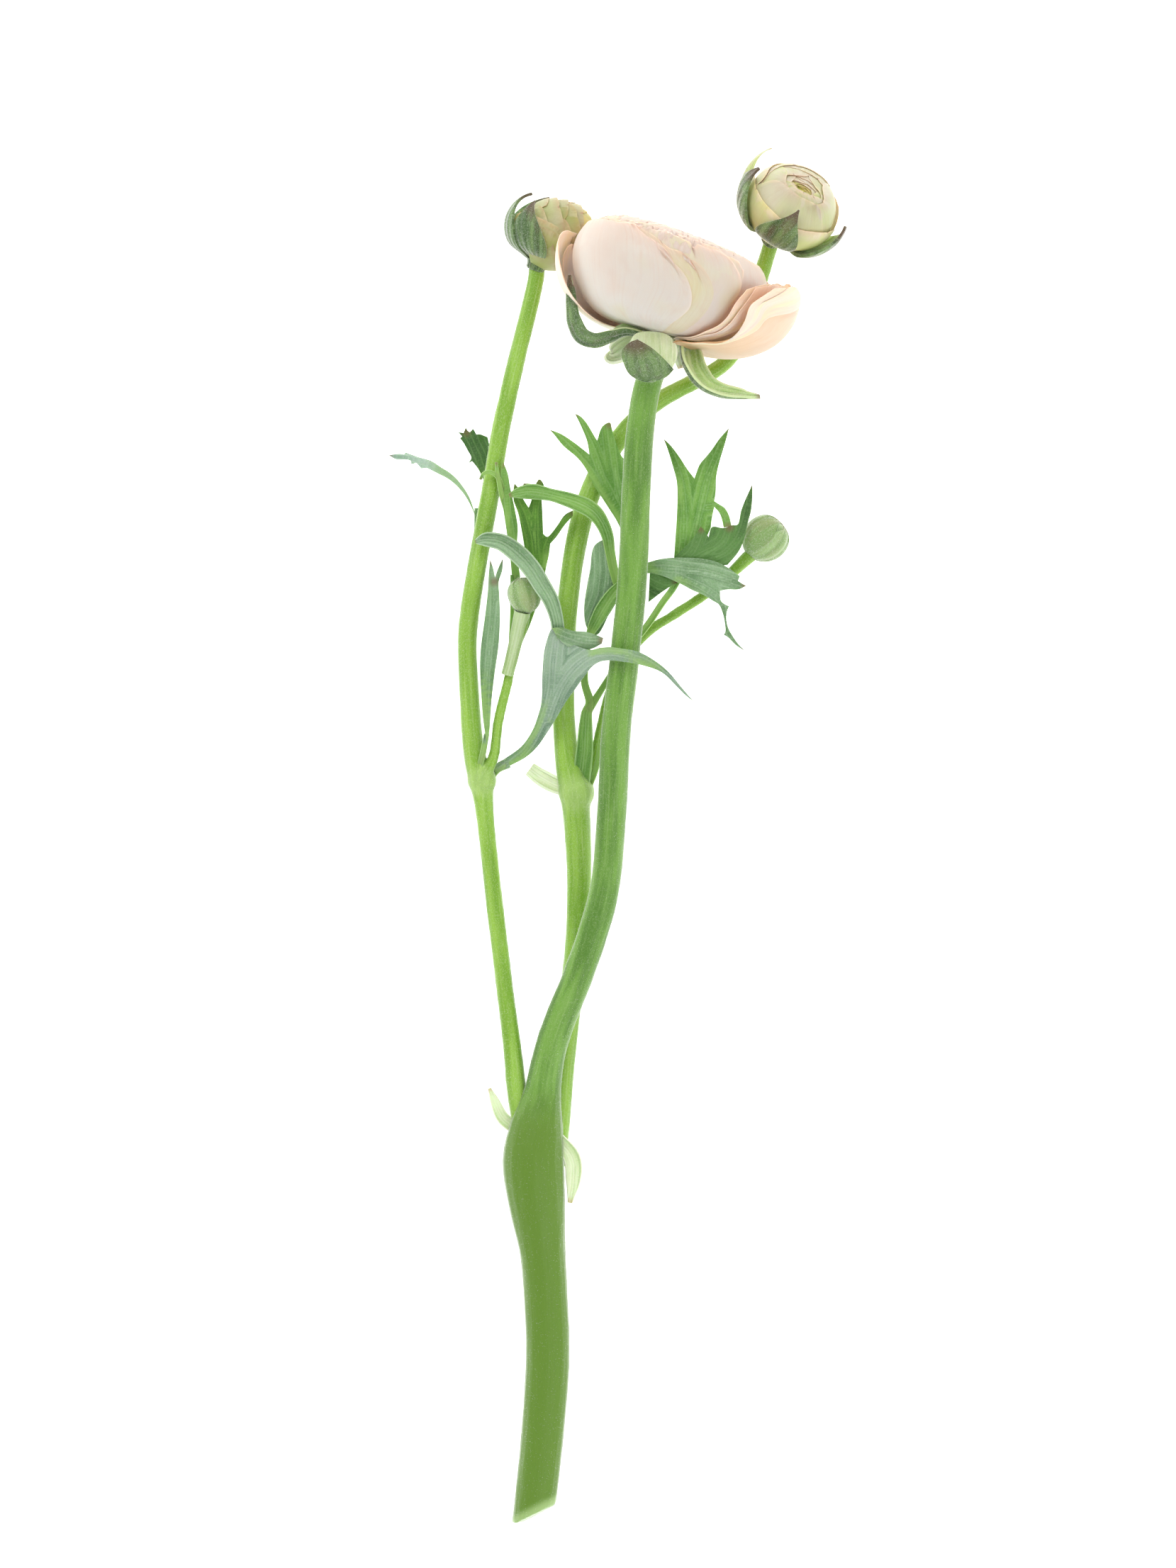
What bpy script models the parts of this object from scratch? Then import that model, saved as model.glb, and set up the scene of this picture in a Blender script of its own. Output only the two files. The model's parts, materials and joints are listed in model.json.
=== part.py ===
"""Ranunculus: one cut, branched stem with its open flower, buds and leaves, lying on its back.

Sizes are in millimetres and become metres in mm(). The stem lies along +Y with the flower at the far
end, +Z is up, and the surface that it rests on is Z = 0.
"""

import math

import bmesh
import bpy
from mathutils import Matrix, Vector

MM = 0.001
GAP = 0.3              # clearance between pieces that touch
MERGE = 0.00002        # metres, welds a tube's caps to its sides

PETAL_THICK = 0.22
SEPAL_THICK = 0.8
LEAF_THICK = 0.55
STUB_THICK = 1.1
LEAST_WIDTH = 0.3      # of a leaf at its tip
LEAF_CUP, FOLDED_LEAF_CUP, SEPAL_CUP = 0.3, 0.6, 0.25   # how far the edges rise, per half width
STRIP_STEPS = 2        # stations for each stretch of a leaf's route

# Stems: route points as (x, y, z, radius), from the cut end or the fork upwards.
MAIN_STEM = (
    (-24.3, -194.6, 5.75, 6.0), (-22, -175, 5.9, 6.1), (-20, -149, 6.4, 6.3), (-20.5, -129, 6.9, 6.3),
    (-21.5, -116, 7.6, 6.7), (-23, -103, 8.6, 8.2), (-24, -91, 9.2, 8.9), (-23, -81, 9.8, 7.6),
    (-21.5, -72, 10.8, 5.4), (-20, -63, 12, 4.7), (-17.5, -54, 13.4, 4.5), (-11.5, -39, 16, 4.4),
    (-7, -26, 18.2, 4.3), (-3.5, -12, 20, 4.25), (-1.5, 11, 23, 4.25), (-0.5, 31, 25.5, 4.25),
    (2, 53, 28.2, 4.25), (4, 73, 30.8, 4.2), (5, 97, 33.8, 4.1), (6, 113, 35.4, 4.0),
    (8, 127, 36.4, 3.9), (11.5, 137.5, 36.8, 3.9),
)
LEFT_BRANCH = (
    (-26, -85, 9, 3.2), (-28.5, -73, 9, 2.9), (-30, -59, 8.2, 2.7), (-33.5, -31, 7.5, 2.5),
    (-36.5, -5, 8.2, 2.5), (-38, 10, 9, 2.8), (-39, 17.5, 9.6, 3.6), (-41, 26, 10.6, 3.1),
    (-42.5, 47, 12.5, 2.85), (-42.5, 60, 13.2, 2.8), (-40, 77, 14, 2.8), (-36, 99, 14.2, 2.75),
    (-33, 117, 13.9, 2.65), (-29, 135, 13.2, 2.5), (-25.5, 149, 12.6, 2.5), (-23.4, 158, 12.2, 2.4),
    (-22.8, 163.5, 12, 2.4),
)
MIDDLE_BRANCH = (
    (-18, -93, 7, 3.0), (-17, -81, 5.6, 3.4), (-16, -69, 4.4, 3.4), (-14.5, -53, 4.0, 3.4),
    (-12, -33, 5.2, 3.4), (-11, -13, 7, 3.5), (-11.5, 3, 8.8, 3.8), (-12.5, 14, 10, 4.3),
    (-14.5, 24, 11, 3.5), (-15.5, 39, 12, 3.2), (-15, 59, 12.6, 3.05), (-13, 77, 12.4, 3.05),
    (-10, 92, 11.6, 3.1), (-4.5, 106, 10.4, 2.9), (2.5, 116.5, 9.2, 2.7), (11.5, 124.5, 7.6, 2.5),
    (22.5, 130.5, 5.6, 2.4), (30.5, 135.5, 4, 2.35), (36.5, 145, 3.2, 2.3), (39.5, 156, 3.8, 2.3),
    (41.5, 163, 5.8, 2.3), (43.6, 169.5, 8.4, 2.3),
)
LEFT_BUD_STALK = (
    (-37.5, 18, 11, 1.6), (-35, 24.5, 13.5, 1.5), (-34, 33, 15.2, 1.45), (-31.5, 43.5, 16.8, 1.45),
    (-29.5, 53.5, 18.4, 1.6), (-28, 59, 19.4, 2.2), (-27, 64.5, 20.3, 2.4),
)
RIGHT_BUD_STALK = (
    (-10, 16, 8.5, 1.7), (-7, 22, 8.6, 1.6), (-5, 31, 9.8, 1.5), (-2.5, 41, 11.2, 1.5),
    (1, 50, 12, 1.5), (8, 58.5, 12.4, 1.5), (15.5, 63.5, 12.5, 1.5), (25.5, 70, 12.5, 1.5),
    (32.5, 76, 12.3, 1.7), (38, 81, 12.1, 2.1),
)

# Heads: where the base sits, which way the head faces, how high its shells' common centre is above the
# base, and its shells' outlines as (angle from straight down in degrees, distance from that centre).
FLOWER = {
    "base": (12.5, 140.5, 36.9), "up": (0.2584, 0.9646, -0.0523), "centre": 12.0, "lean": 0.085,
    "body": ((0, 12), (34, 13), (46, 14.6), (69, 21.8), (87, 26), (102, 29.3), (112, 30.3),
             (124, 29.6), (142, 24.6), (160, 20.2), (180, 18.6)),
    "outer": ((0, 14.4), (34, 15.6), (46, 17.2), (60, 23.5), (72, 28.5), (84, 33), (96, 36),
              (106, 37.3), (116, 36.8), (125, 36), (180, 30)),
}
BUD_BODY = ((0, 9), (34, 9.8), (60, 12), (90, 13), (120, 13.2), (150, 12.4), (180, 11.6))
BUD_OUTER = ((0, 12), (34, 12.8), (60, 16.2), (90, 18), (120, 18), (150, 16), (180, 14.5))
RIGHT_BUD = {
    "base": (43.6, 170.4, 9.25), "up": (0.480, 0.741, 0.470), "centre": 10.5, "lean": 0.0,
    "body": BUD_BODY, "outer": BUD_OUTER,
}
LEFT_BUD = {
    "base": (-23.0, 163.0, 12.7), "up": (0.40, 0.9165, 0.0), "centre": 9.0, "lean": 0.10,
    "body": tuple((angle, 0.84 * reach) for angle, reach in BUD_BODY),
    "outer": tuple((angle, 0.84 * reach) for angle, reach in BUD_OUTER),
}

# Petals and sepals in a head's shells: (azimuth, half width, layer, rim angle), angles in degrees. Azimuth
# 0 is to the right, 90 towards +Z and 270 towards the surface. Layer 1 is the body and 2 the outline of
# the loose whorl.
FLOWER_BODY_PETALS = (
    (142, 60, 1.00, 138), (113, 46, 0.93, 134), (95, 44, 0.87, 132),
    (20, 50, 0.82, 136), (310, 54, 0.94, 134), (230, 54, 0.88, 136),
)
FLOWER_OUTER_PETALS = (
    (18, 48, 1.25, 112), (12, 48, 1.40, 112), (3, 50, 1.55, 112), (353, 50, 1.70, 110),
    (342, 50, 1.85, 109), (285, 48, 2.00, 108), (230, 44, 1.82, 111),
)
BUD_PETALS = ((60, 62, 1.00, 136), (150, 60, 0.94, 134), (290, 62, 0.94, 134), (20, 50, 0.88, 140))
RIGHT_BUD_SEPALS = {
    "left": (162, 34, 1.70, 116), "back": (208, 20, 2.00, 124), "front": (79, 34, 1.40, 112),
    "right": (8, 34, 1.80, 110), "under": (285, 34, 1.40, 104),
}
LEFT_BUD_SEPALS = {
    "front": (118, 33, 1.40, 142), "left": (176, 32, 1.45, 138), "back": (232, 30, 1.40, 140),
    "under": (292, 32, 1.40, 138), "right": (350, 26, 1.40, 74),
}
RIM_DROP = 0.32        # how far a petal's rim falls towards its sides, of the petal's length
RIM_ROUND = 0.97       # how much of the quarter circle that the rim's fall follows
FOOT_WIDTH = 0.42      # of a petal's full width, at its foot
WIDEST_AT = 0.75       # of a petal's length, where it reaches its full width
PETAL_START, SEPAL_START = 36, 30     # degrees, just outside the receptacle
CORE_LAYER = 0.77

# Receptacles: how much their top tapers, their rounded edge, and the neck down to the stem.
TOP_TAPER, EDGE, NECK_LONG = 1.6, 0.6, 2.2

# Sepals of the open flower: (x, y, z, width), with the way that the face looks.
FLOWER_SEPALS = {
    "left": ((-0.3, -0.5, 0.8), ((8.5, 141.5, 37, 6.5), (-1, 139.5, 37.5, 8), (-6.5, 138.5, 38, 7),
             (-11, 141, 38, 6), (-13.2, 147, 37.5, 5), (-14, 153, 37, 3.5), (-14, 158, 37, 1))),
    "front": ((0.0, -0.2, 1.0), ((12, 140, 40, 7), (11.4, 136.5, 45, 10), (9.5, 131.5, 47.4, 12),
              (6.5, 129.5, 50, 9), (4.5, 134, 53, 2))),
    "right": ((0.6, 0.6, 0.5), ((15, 138.5, 37.5, 5), (20.5, 134, 40.5, 8), (26, 129, 42, 8),
              (32.5, 126, 42, 5), (39.5, 124.5, 41, 1))),
    "back_left": ((-0.2, -0.6, -0.7), ((11, 139.5, 31.5, 5), (5.5, 135.8, 27.5, 7), (1, 136, 24, 6),
                  (-1.5, 138, 20, 1.5))),
    "back_right": ((0.3, -0.6, -0.7), ((13.5, 138.2, 31.5, 5), (17, 132.4, 28, 7), (18.5, 130, 24, 5),
                   (19.5, 128.5, 21, 1.2))),
}

# Leaves: each lobe is a strip along its midrib, (x, y, z, width), from its base to its tip.
LEFT_LEAF = (
    ((-37, 16.5, 9, 2.4), (-33, 20, 10, 2.2), (-26.5, 24.5, 14.5, 2.4), (-22.5, 34, 20, 3),
     (-20, 39.5, 22, 4), (-18, 45, 24, 5.5)),
    ((-20, 40, 22.4, 3.6), (-17, 48, 25, 7.2), (-15.5, 54.5, 27.5, 8.6), (-17, 61, 28.8, 6),
     (-19, 67, 29, 4.2), (-20.5, 73, 28.5, 4.2), (-25.5, 81, 26, 4.2), (-32, 85.5, 23, 3.4),
     (-38, 86.5, 21, 2.4), (-40.5, 84.5, 20.5, 0.8)),
    ((-16, 52, 26.8, 6), (-11.5, 56, 29.5, 5), (-7.5, 56, 30.5, 3.5), (-4, 56, 30.5, 1)),
    ((-18, 44.5, 24, 4.5), (-12.5, 50, 29, 5), (-7.5, 53, 32.5, 4), (-0.5, 53.5, 35, 3.6),
     (7, 51.5, 36, 3.4), (13, 47, 34, 3), (18.5, 42, 31.5, 2), (21.5, 39, 30, 0.8)),
)
LEFT_BACK_LEAF = (
    ((-38.5, 18.5, 7.5, 2), (-43.5, 37, 7, 1.8), (-43, 57, 8, 1.8), (-41.5, 73, 8, 1.8),
     (-40, 85, 8.5, 2), (-39, 94, 9, 2.6)),
    ((-39, 90, 8.8, 2.4), (-40, 94, 9.5, 3), (-43.5, 99, 11, 4), (-48.5, 105, 12.5, 5),
     (-54.5, 108, 13, 4), (-60.5, 109, 12.5, 2.5), (-65, 109.5, 12, 0.8)),
    ((-39, 90, 8.7, 2.4), (-39, 99, 8.5, 3.5), (-40, 104, 8.5, 6), (-41, 109, 8, 8),
     (-41.5, 114, 7.5, 6), (-42.5, 117, 7, 1.5)),
)
LEFT_INNER_LEAF = (
    ((-39.5, 19.5, 12, 1.8), (-39, 25, 15, 1.8), (-38.8, 35, 16.2, 2.6), (-37.5, 45, 17, 4.4),
     (-37, 55, 18, 5), (-35.5, 65, 18, 5), (-35, 73, 17.5, 3.5), (-34, 80, 17, 0.8)),
)
LEFT_BRACT = (
    ((-30.2, 54.5, 16.5, 1.6), (-29.5, 65, 14.2, 2), (-30, 73, 14.2, 2.4), (-29.5, 81, 16, 3),
     (-30, 89, 17.5, 3.5), (-31.5, 97, 18.5, 4), (-32.5, 103.5, 18.5, 3), (-33, 107, 18.2, 0.8)),
    ((-31.5, 99, 18.5, 1.8), (-34, 105.5, 18.9, 1.2), (-37, 106.5, 19, 1), (-39, 104, 19, 0.7)),
)
RIGHT_BRACT = (
    ((-27.4, 54.5, 16.5, 1.6), (-24.5, 65, 14.2, 2), (-23.5, 73, 15, 3), (-24, 81, 17, 5.5),
     (-24, 88, 18.5, 6.3), (-24.5, 95, 19, 5.5), (-25.5, 99, 19, 3), (-26, 102, 18.6, 0.8)),
    ((-23, 80, 17, 3), (-18.5, 88, 19.4, 2.2), (-13, 93, 20, 0.8)),
)
MIDDLE_LEAF = (
    ((-10.5, 16, 11, 5), (-9.5, 25, 14.5, 5), (-9, 35, 16.5, 3.2), (-8, 39, 17.5, 2.4),
     (-9.5, 45, 18.5, 2), (-9, 53, 19.5, 2), (-7.5, 59, 20.5, 4), (-5, 67, 21.5, 7.5),
     (-4.5, 74, 22, 5.5), (-2.5, 79.5, 22, 4), (-3, 87, 22, 3.4), (-6, 91, 22, 3.2),
     (-11, 94.5, 22, 3.2), (-17.5, 97, 21.8, 3), (-24, 99, 21.6, 3), (-28.5, 99, 21.2, 2.2),
     (-32, 98, 21, 0.8)),
    ((-8.5, 36.5, 16.9, 2.4), (-5, 42, 18, 1.8), (-1.5, 47.5, 18.4, 1.6), (3.5, 54.5, 18.8, 1.6),
     (8.5, 61, 19, 1.8), (12.5, 67, 19.3, 1.8), (16, 72, 19.6, 2), (17, 78, 19.9, 3.5)),
    ((16, 74.5, 19.7, 2.4), (17, 81, 20, 5), (17, 87, 20.4, 8), (17, 94, 20.6, 8.5),
     (16, 101, 20.6, 7), (14.5, 107, 20.4, 4), (13, 113.5, 20, 0.8)),
    ((16.5, 75.5, 19.8, 3), (19, 83, 20.1, 5), (21, 89, 20.4, 8), (23.5, 95, 20.7, 8.5),
     (26, 102, 20.7, 7.5), (29, 109, 20.3, 4.5), (31.5, 117, 19.8, 0.8)),
    ((16, 76, 19.5, 3), (21.5, 81.5, 18.6, 6), (26.5, 84, 18.2, 9), (31.5, 88, 18, 8),
     (35, 94, 18, 5), (38, 101, 18, 0.8)),
)
BACK_LEAF = (
    ((-9.5, 12.5, 9.5, 2), (-6.3, 20, 12, 1.6), (-4.6, 29, 13.7, 1.6), (-3, 37, 14.6, 1.6),
     (-1, 47, 15.2, 1.6), (1, 57, 15.6, 1.8), (2.5, 67, 15.8, 2.2), (3, 75, 16, 3), (2.5, 83, 16.3, 3.5)),
    ((3, 77, 16, 3), (1.5, 88, 16.8, 4.5), (-1, 96, 17.4, 7), (-3, 101, 17.8, 9)),
    ((0.5, 91, 17, 4.5), (-5.5, 101, 17.8, 6), (-11.5, 108, 18.2, 4.5), (-15.5, 112.5, 18, 2.6),
     (-19.5, 116, 17.6, 0.8)),
    ((-1, 94.5, 17.4, 5), (-4.5, 103, 18, 6.5), (-8, 112, 18.2, 4.5), (-10.5, 117, 18, 2.4),
     (-12.5, 120.5, 17.8, 0.8)),
    ((0, 93.5, 17.2, 4.5), (-1.5, 103, 17.8, 6.5), (-2, 111, 18, 4.5), (-2, 118, 17.8, 0.8)),
    ((2, 64, 15.8, 2.2), (4, 70.5, 18, 3.5), (9, 76, 21, 5), (17, 76, 22, 7.5),
     (23.5, 75, 22.3, 9.5), (28.5, 74, 22.3, 7), (32.5, 74, 22, 3.5), (36, 72, 21.6, 0.8)),
    ((26, 71.5, 22.2, 3), (29, 67, 21.8, 2.5), (31.5, 64, 21.2, 2), (31, 59.5, 20.5, 1.6),
     (33, 56, 19.6, 1.2), (36, 53.5, 19, 0.6)),
)
MID_NODE_STUB = (((-13, 14, 10, 4), (-17.5, 15.5, 10, 4.5), (-21.5, 17.5, 9.6, 4.5), (-25, 20, 9, 3.5)),)
BASE_SHEATH_LEFT = (((-27, -83, 9, 4), (-32.5, -79, 9, 3.6), (-35, -74, 9.4, 2.5), (-36.5, -70.5, 9.8, 0.8)),)
BASE_SHEATH_RIGHT = (
    ((-18, -84, 10, 4), (-13.2, -90, 10, 5), (-12.6, -96, 9.5, 4.4), (-13.6, -103, 9.5, 1.2)),
)

TIP_DRAW = 0.18        # how much a closed bud narrows at its tip
# Closed buds: the centre, the way that the tip points, half width and half length.
LEFT_SMALL_BUD = ((-26.5, 69.5, 21), (-0.25, 0.95, 0.1), 4.7, 5.6)
RIGHT_SMALL_BUD = ((42, 85.5, 12.2), (0.75, 0.66, 0.05), 6.6, 7.2)

GREEN = {
    "stem_green": (0.13, 0.24, 0.05, 0.55), "branch_green": (0.27, 0.42, 0.07, 0.5),
    "sepal_green": (0.09, 0.16, 0.06, 0.75), "leaf_green": (0.12, 0.22, 0.10, 0.6),
    "sheath_pale": (0.45, 0.52, 0.22, 0.6),
}
PETAL_COLOUR = (0.86, 0.66, 0.52, 0.5)
BUD_PETAL_COLOUR = (0.72, 0.70, 0.42, 0.5)


# ---- scene, materials and object helpers ----

def mm(*point):
    return Vector(point[:3]) * MM


def clear_scene():
    for obj in list(bpy.data.objects):
        bpy.data.objects.remove(obj, do_unlink=True)


def collection(name, inside=None):
    made = bpy.data.collections.new(name)
    (inside or bpy.context.scene.collection).children.link(made)
    return made


def material(name, colour, tint=0):
    """A Principled material; tint makes neighbouring pieces a little lighter or darker."""
    made = bpy.data.materials.new(name)
    made.use_nodes = True
    shader = made.node_tree.nodes["Principled BSDF"]
    shade = 1 - 0.03 * (tint % 4)
    shader.inputs["Base Color"].default_value = tuple(c * shade for c in colour[:3]) + (1,)
    shader.inputs["Roughness"].default_value = colour[3]
    shader.inputs["Metallic"].default_value = 0
    return made


def place_mesh(name, mesh, into, skin=None):
    obj = bpy.data.objects.new(name, mesh)
    into.objects.link(obj)
    if skin:
        mesh.materials.append(skin)
    if into is not parts:
        obj.hide_render = True
        obj.display_type = "WIRE"
    for face in mesh.polygons:
        face.use_smooth = True
    return obj


def thicken(obj, thickness, offset=0):
    solid = obj.modifiers.new("thickness", "SOLIDIFY")
    solid.thickness = thickness * MM
    solid.offset = offset


def cut_away(obj, cutter):
    cut = obj.modifiers.new("cut", "BOOLEAN")
    cut.operation = "DIFFERENCE"
    cut.solver = "EXACT"
    cut.object = cutter


def join_all(obj, others):
    """Joins every object of a collection to this one, in one solid."""
    join = obj.modifiers.new("join", "BOOLEAN")
    join.operation = "UNION"
    join.solver = "EXACT"
    join.operand_type = "COLLECTION"
    join.collection = others


def smooth_route(route, steps):
    """Route points with steps - 1 more between each two, on a Catmull-Rom curve."""
    points = [Vector(p) for p in route]
    ends = [2 * points[0] - points[1]] + points + [2 * points[-1] - points[-2]]
    result = []
    for a, b, c, d in zip(ends, ends[1:], ends[2:], ends[3:]):
        for k in range(steps):
            t = k / steps
            result.append(0.5 * (2 * b + (c - a) * t + (2 * a - 5 * b + 4 * c - d) * t ** 2
                                 + (3 * b - a - 3 * c + d) * t ** 3))
    return result + [points[-1]]


def smooth_value(table, at):
    """The value at a place in a table of (place, value), on a curve through its points."""
    places = [row[0] for row in table]
    values = [row[1] for row in table]
    i = max(0, min(len(table) - 2, sum(1 for p in places[1:-1] if p <= at)))

    def slope(k):
        low, high = max(0, k - 1), min(len(table) - 1, k + 1)
        return (values[high] - values[low]) / (places[high] - places[low])

    span = places[i + 1] - places[i]
    t = (at - places[i]) / span
    return ((2 * t ** 3 - 3 * t ** 2 + 1) * values[i] + (t ** 3 - 2 * t ** 2 + t) * span * slope(i)
            + (3 * t ** 2 - 2 * t ** 3) * values[i + 1] + (t ** 3 - t ** 2) * span * slope(i + 1))


# ---- stems ----

def tube(name, route, into, skin=None, sides=2, steps=1, grow=0.0):
    """A round stem of changing radius: a bevelled curve with caps, made a mesh."""
    data = bpy.data.curves.new(name, "CURVE")
    data.dimensions = "3D"
    data.bevel_depth = MM
    data.bevel_resolution = sides
    data.use_fill_caps = True
    spline = data.splines.new("POLY")
    points = smooth_route(route, steps)
    spline.points.add(len(points) - 1)
    for target, point in zip(spline.points, points):
        target.co = (point[0] * MM, point[1] * MM, point[2] * MM, 1)
        target.radius = point[3] + grow
    curve = bpy.data.objects.new(name + "_curve", data)
    into.objects.link(curve)
    bpy.context.view_layer.update()
    ready = curve.evaluated_get(bpy.context.evaluated_depsgraph_get())
    mesh = bpy.data.meshes.new_from_object(ready)
    bpy.data.objects.remove(curve, do_unlink=True)
    work = bmesh.new()
    work.from_mesh(mesh)
    bmesh.ops.remove_doubles(work, verts=work.verts, dist=MERGE)
    bmesh.ops.recalc_face_normals(work, faces=work.faces)
    work.to_mesh(mesh)
    work.free()
    mesh.materials.clear()
    return place_mesh(name, mesh, into, skin)


def stem_cutters():
    """The stems that others grow from, each enlarged by the gap."""
    return {
        "main_stem": tube("cut_main_stem", MAIN_STEM, cutters, sides=3, steps=2, grow=GAP),
        "left_branch": tube("cut_left_branch", LEFT_BRANCH, cutters, grow=GAP),
        "middle_branch": tube("cut_middle_branch", MIDDLE_BRANCH, cutters, grow=GAP),
        "left_bud_stalk": tube("cut_left_bud_stalk", LEFT_BUD_STALK, cutters, grow=GAP),
    }


def stem(name, route, colour, ends_at, sides=2, steps=1):
    """One stem, cut clear of what it grows from and of what it carries."""
    made = tube(name, route, parts, material(name, GREEN[colour]), sides=sides, steps=steps)
    for cutter in ends_at:
        cut_away(made, cutter)


def build_stems(cut):
    stem("main_stem", MAIN_STEM, "stem_green", (cut["flower"],), sides=3, steps=2)
    stem("left_branch", LEFT_BRANCH, "branch_green", (cut["main_stem"], cut["left_bud"]))
    stem("middle_branch", MIDDLE_BRANCH, "branch_green", (cut["main_stem"], cut["right_bud"]))
    stem("left_bud_stalk", LEFT_BUD_STALK, "branch_green", (cut["left_branch"], cut["left_small_bud"]))
    stem("right_bud_stalk", RIGHT_BUD_STALK, "branch_green", (cut["middle_branch"], cut["right_small_bud"]))


# ---- strips: leaves, bracts, sheath remains and the open flower's sepals ----

def strip(name, route, into, face=(0, 0, 1), cup=LEAF_CUP, thickness=LEAF_THICK, skin=None):
    """A thin leaf-like strip along a midrib, its edges raised towards the way that its face looks."""
    stations = smooth_route(route, STRIP_STEPS)
    work = bmesh.new()
    bmesh.ops.create_grid(work, x_segments=2, y_segments=len(stations) - 1, size=1)
    rows = sorted(work.verts, key=lambda v: (round(v.co.y, 4), v.co.x))
    for i, station in enumerate(stations):
        before, after = stations[max(0, i - 1)], stations[min(len(stations) - 1, i + 1)]
        along = (after - before).to_3d().normalized()
        normal = Vector(face) - along * along.dot(Vector(face))
        normal.normalize()
        side = along.cross(normal)
        half = max(station[3], LEAST_WIDTH) / 2
        for k, vert in enumerate(rows[3 * i:3 * i + 3]):
            lift = cup * half * abs(k - 1)
            vert.co = (station.to_3d() + side * half * (k - 1) + normal * lift) * MM
    mesh = bpy.data.meshes.new(name)
    work.to_mesh(mesh)
    work.free()
    obj = place_mesh(name, mesh, into, skin)
    thicken(obj, thickness)
    return obj


def leaf(name, lobes, colour, grows_from, cup=LEAF_CUP, thickness=LEAF_THICK):
    """One leaf: its lobes joined in one solid, and its foot cut clear of the stem that it grows from."""
    skin = material(name, GREEN[colour])
    whole = strip(name, lobes[0], parts, cup=cup, thickness=thickness, skin=skin)
    if len(lobes) > 1:
        others = collection(name + "_lobes", cutters)
        for i, lobe in enumerate(lobes[1:], 1):
            strip(f"{name}_lobe_{i}", lobe, others, cup=cup, thickness=thickness)
        join_all(whole, others)
    for cutter in grows_from:
        cut_away(whole, cutter)


def build_leaves(cut):
    main, left, middle = cut["main_stem"], cut["left_branch"], cut["middle_branch"]
    leaf("left_leaf", LEFT_LEAF, "leaf_green", (left,))
    leaf("left_back_leaf", LEFT_BACK_LEAF, "leaf_green", (left,))
    leaf("left_inner_leaf", LEFT_INNER_LEAF, "leaf_green", (left,), cup=FOLDED_LEAF_CUP)
    leaf("left_bud_bract_left", LEFT_BRACT, "leaf_green", (cut["left_bud_stalk"],))
    leaf("left_bud_bract_right", RIGHT_BRACT, "leaf_green", (cut["left_bud_stalk"],))
    leaf("middle_leaf", MIDDLE_LEAF, "leaf_green", (middle,))
    leaf("back_leaf", BACK_LEAF, "leaf_green", (middle,))
    leaf("mid_node_stub", MID_NODE_STUB, "sheath_pale", (middle,), thickness=STUB_THICK)
    leaf("base_sheath_left", BASE_SHEATH_LEFT, "sheath_pale", (main, left))
    leaf("base_sheath_right", BASE_SHEATH_RIGHT, "sheath_pale", (main, middle))


# ---- heads: shells round a common centre ----

def head_axes(head):
    up = Vector(head["up"]).normalized()
    front = (Vector((0, 0, 1)) - up * up.z).normalized()
    return up.cross(front), front, up


def shell_reach(head, layer, angle, azimuth):
    """How far a layer lies from the head's centre, in a direction."""
    sway = min(1, max(0, (angle - 40) / 50))
    body = smooth_value(head["body"], angle) * (1 - head["lean"] * sway * math.cos(math.radians(azimuth)))
    if layer <= 1:
        return layer * body
    return body + (layer - 1) * (smooth_value(head["outer"], angle) - body)


def shell_point(head, layer, angle, azimuth):
    right, front, up = head_axes(head)
    reach = shell_reach(head, layer, angle, azimuth)
    turn, round_ = math.radians(angle), math.radians(azimuth)
    outward = right * math.cos(round_) + front * math.sin(round_)
    centre = Vector(head["base"]) + up * head["centre"]
    return (centre + reach * (outward * math.sin(turn) - up * math.cos(turn))) * MM


def petal(name, head, spec, colour, tint, start=PETAL_START, thickness=PETAL_THICK, across=9, along=8,
          pointed=False):
    """A petal or sepal that lies in one layer of a head."""
    azimuth, half_width, layer, rim = spec
    work = bmesh.new()
    bmesh.ops.create_grid(work, x_segments=across, y_segments=along, size=1)
    for vert in work.verts:
        side, rise = vert.co.x, (vert.co.y + 1) / 2
        fall = 1 - math.sqrt(1 - RIM_ROUND * side ** 2)
        drop = 0 if pointed else RIM_DROP * (rim - start) * fall
        angle = start + (rim - drop - start) * rise
        if pointed:
            spread = (0.62 + 0.9 * rise) * max(0.05, 1 - rise ** 2) ** 0.7
        else:
            spread = FOOT_WIDTH + (1 - FOOT_WIDTH) * math.sin(min(1, rise / WIDEST_AT) * math.pi / 2)
        vert.co = shell_point(head, layer, angle, azimuth + side * half_width * spread)
    bmesh.ops.reverse_faces(work, faces=work.faces)
    mesh = bpy.data.meshes.new(name)
    work.to_mesh(mesh)
    work.free()
    obj = place_mesh(name, mesh, parts, material(name, colour, tint))
    thicken(obj, thickness, -1)
    return obj


def packed_petals(name, head, layer, colour, across, along):
    """The tightly packed inner petals, as one closed solid of their outer shape."""
    work = bmesh.new()
    bmesh.ops.create_uvsphere(work, u_segments=across, v_segments=along, radius=1)
    for vert in work.verts:
        angle = math.degrees(math.acos(max(-1, min(1, -vert.co.z))))
        azimuth = math.degrees(math.atan2(vert.co.y, vert.co.x))
        vert.co = shell_point(head, layer, angle, azimuth)
    bmesh.ops.reverse_faces(work, faces=work.faces)
    mesh = bpy.data.meshes.new(name)
    work.to_mesh(mesh)
    work.free()
    return place_mesh(name, mesh, parts, material(name, colour))


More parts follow.
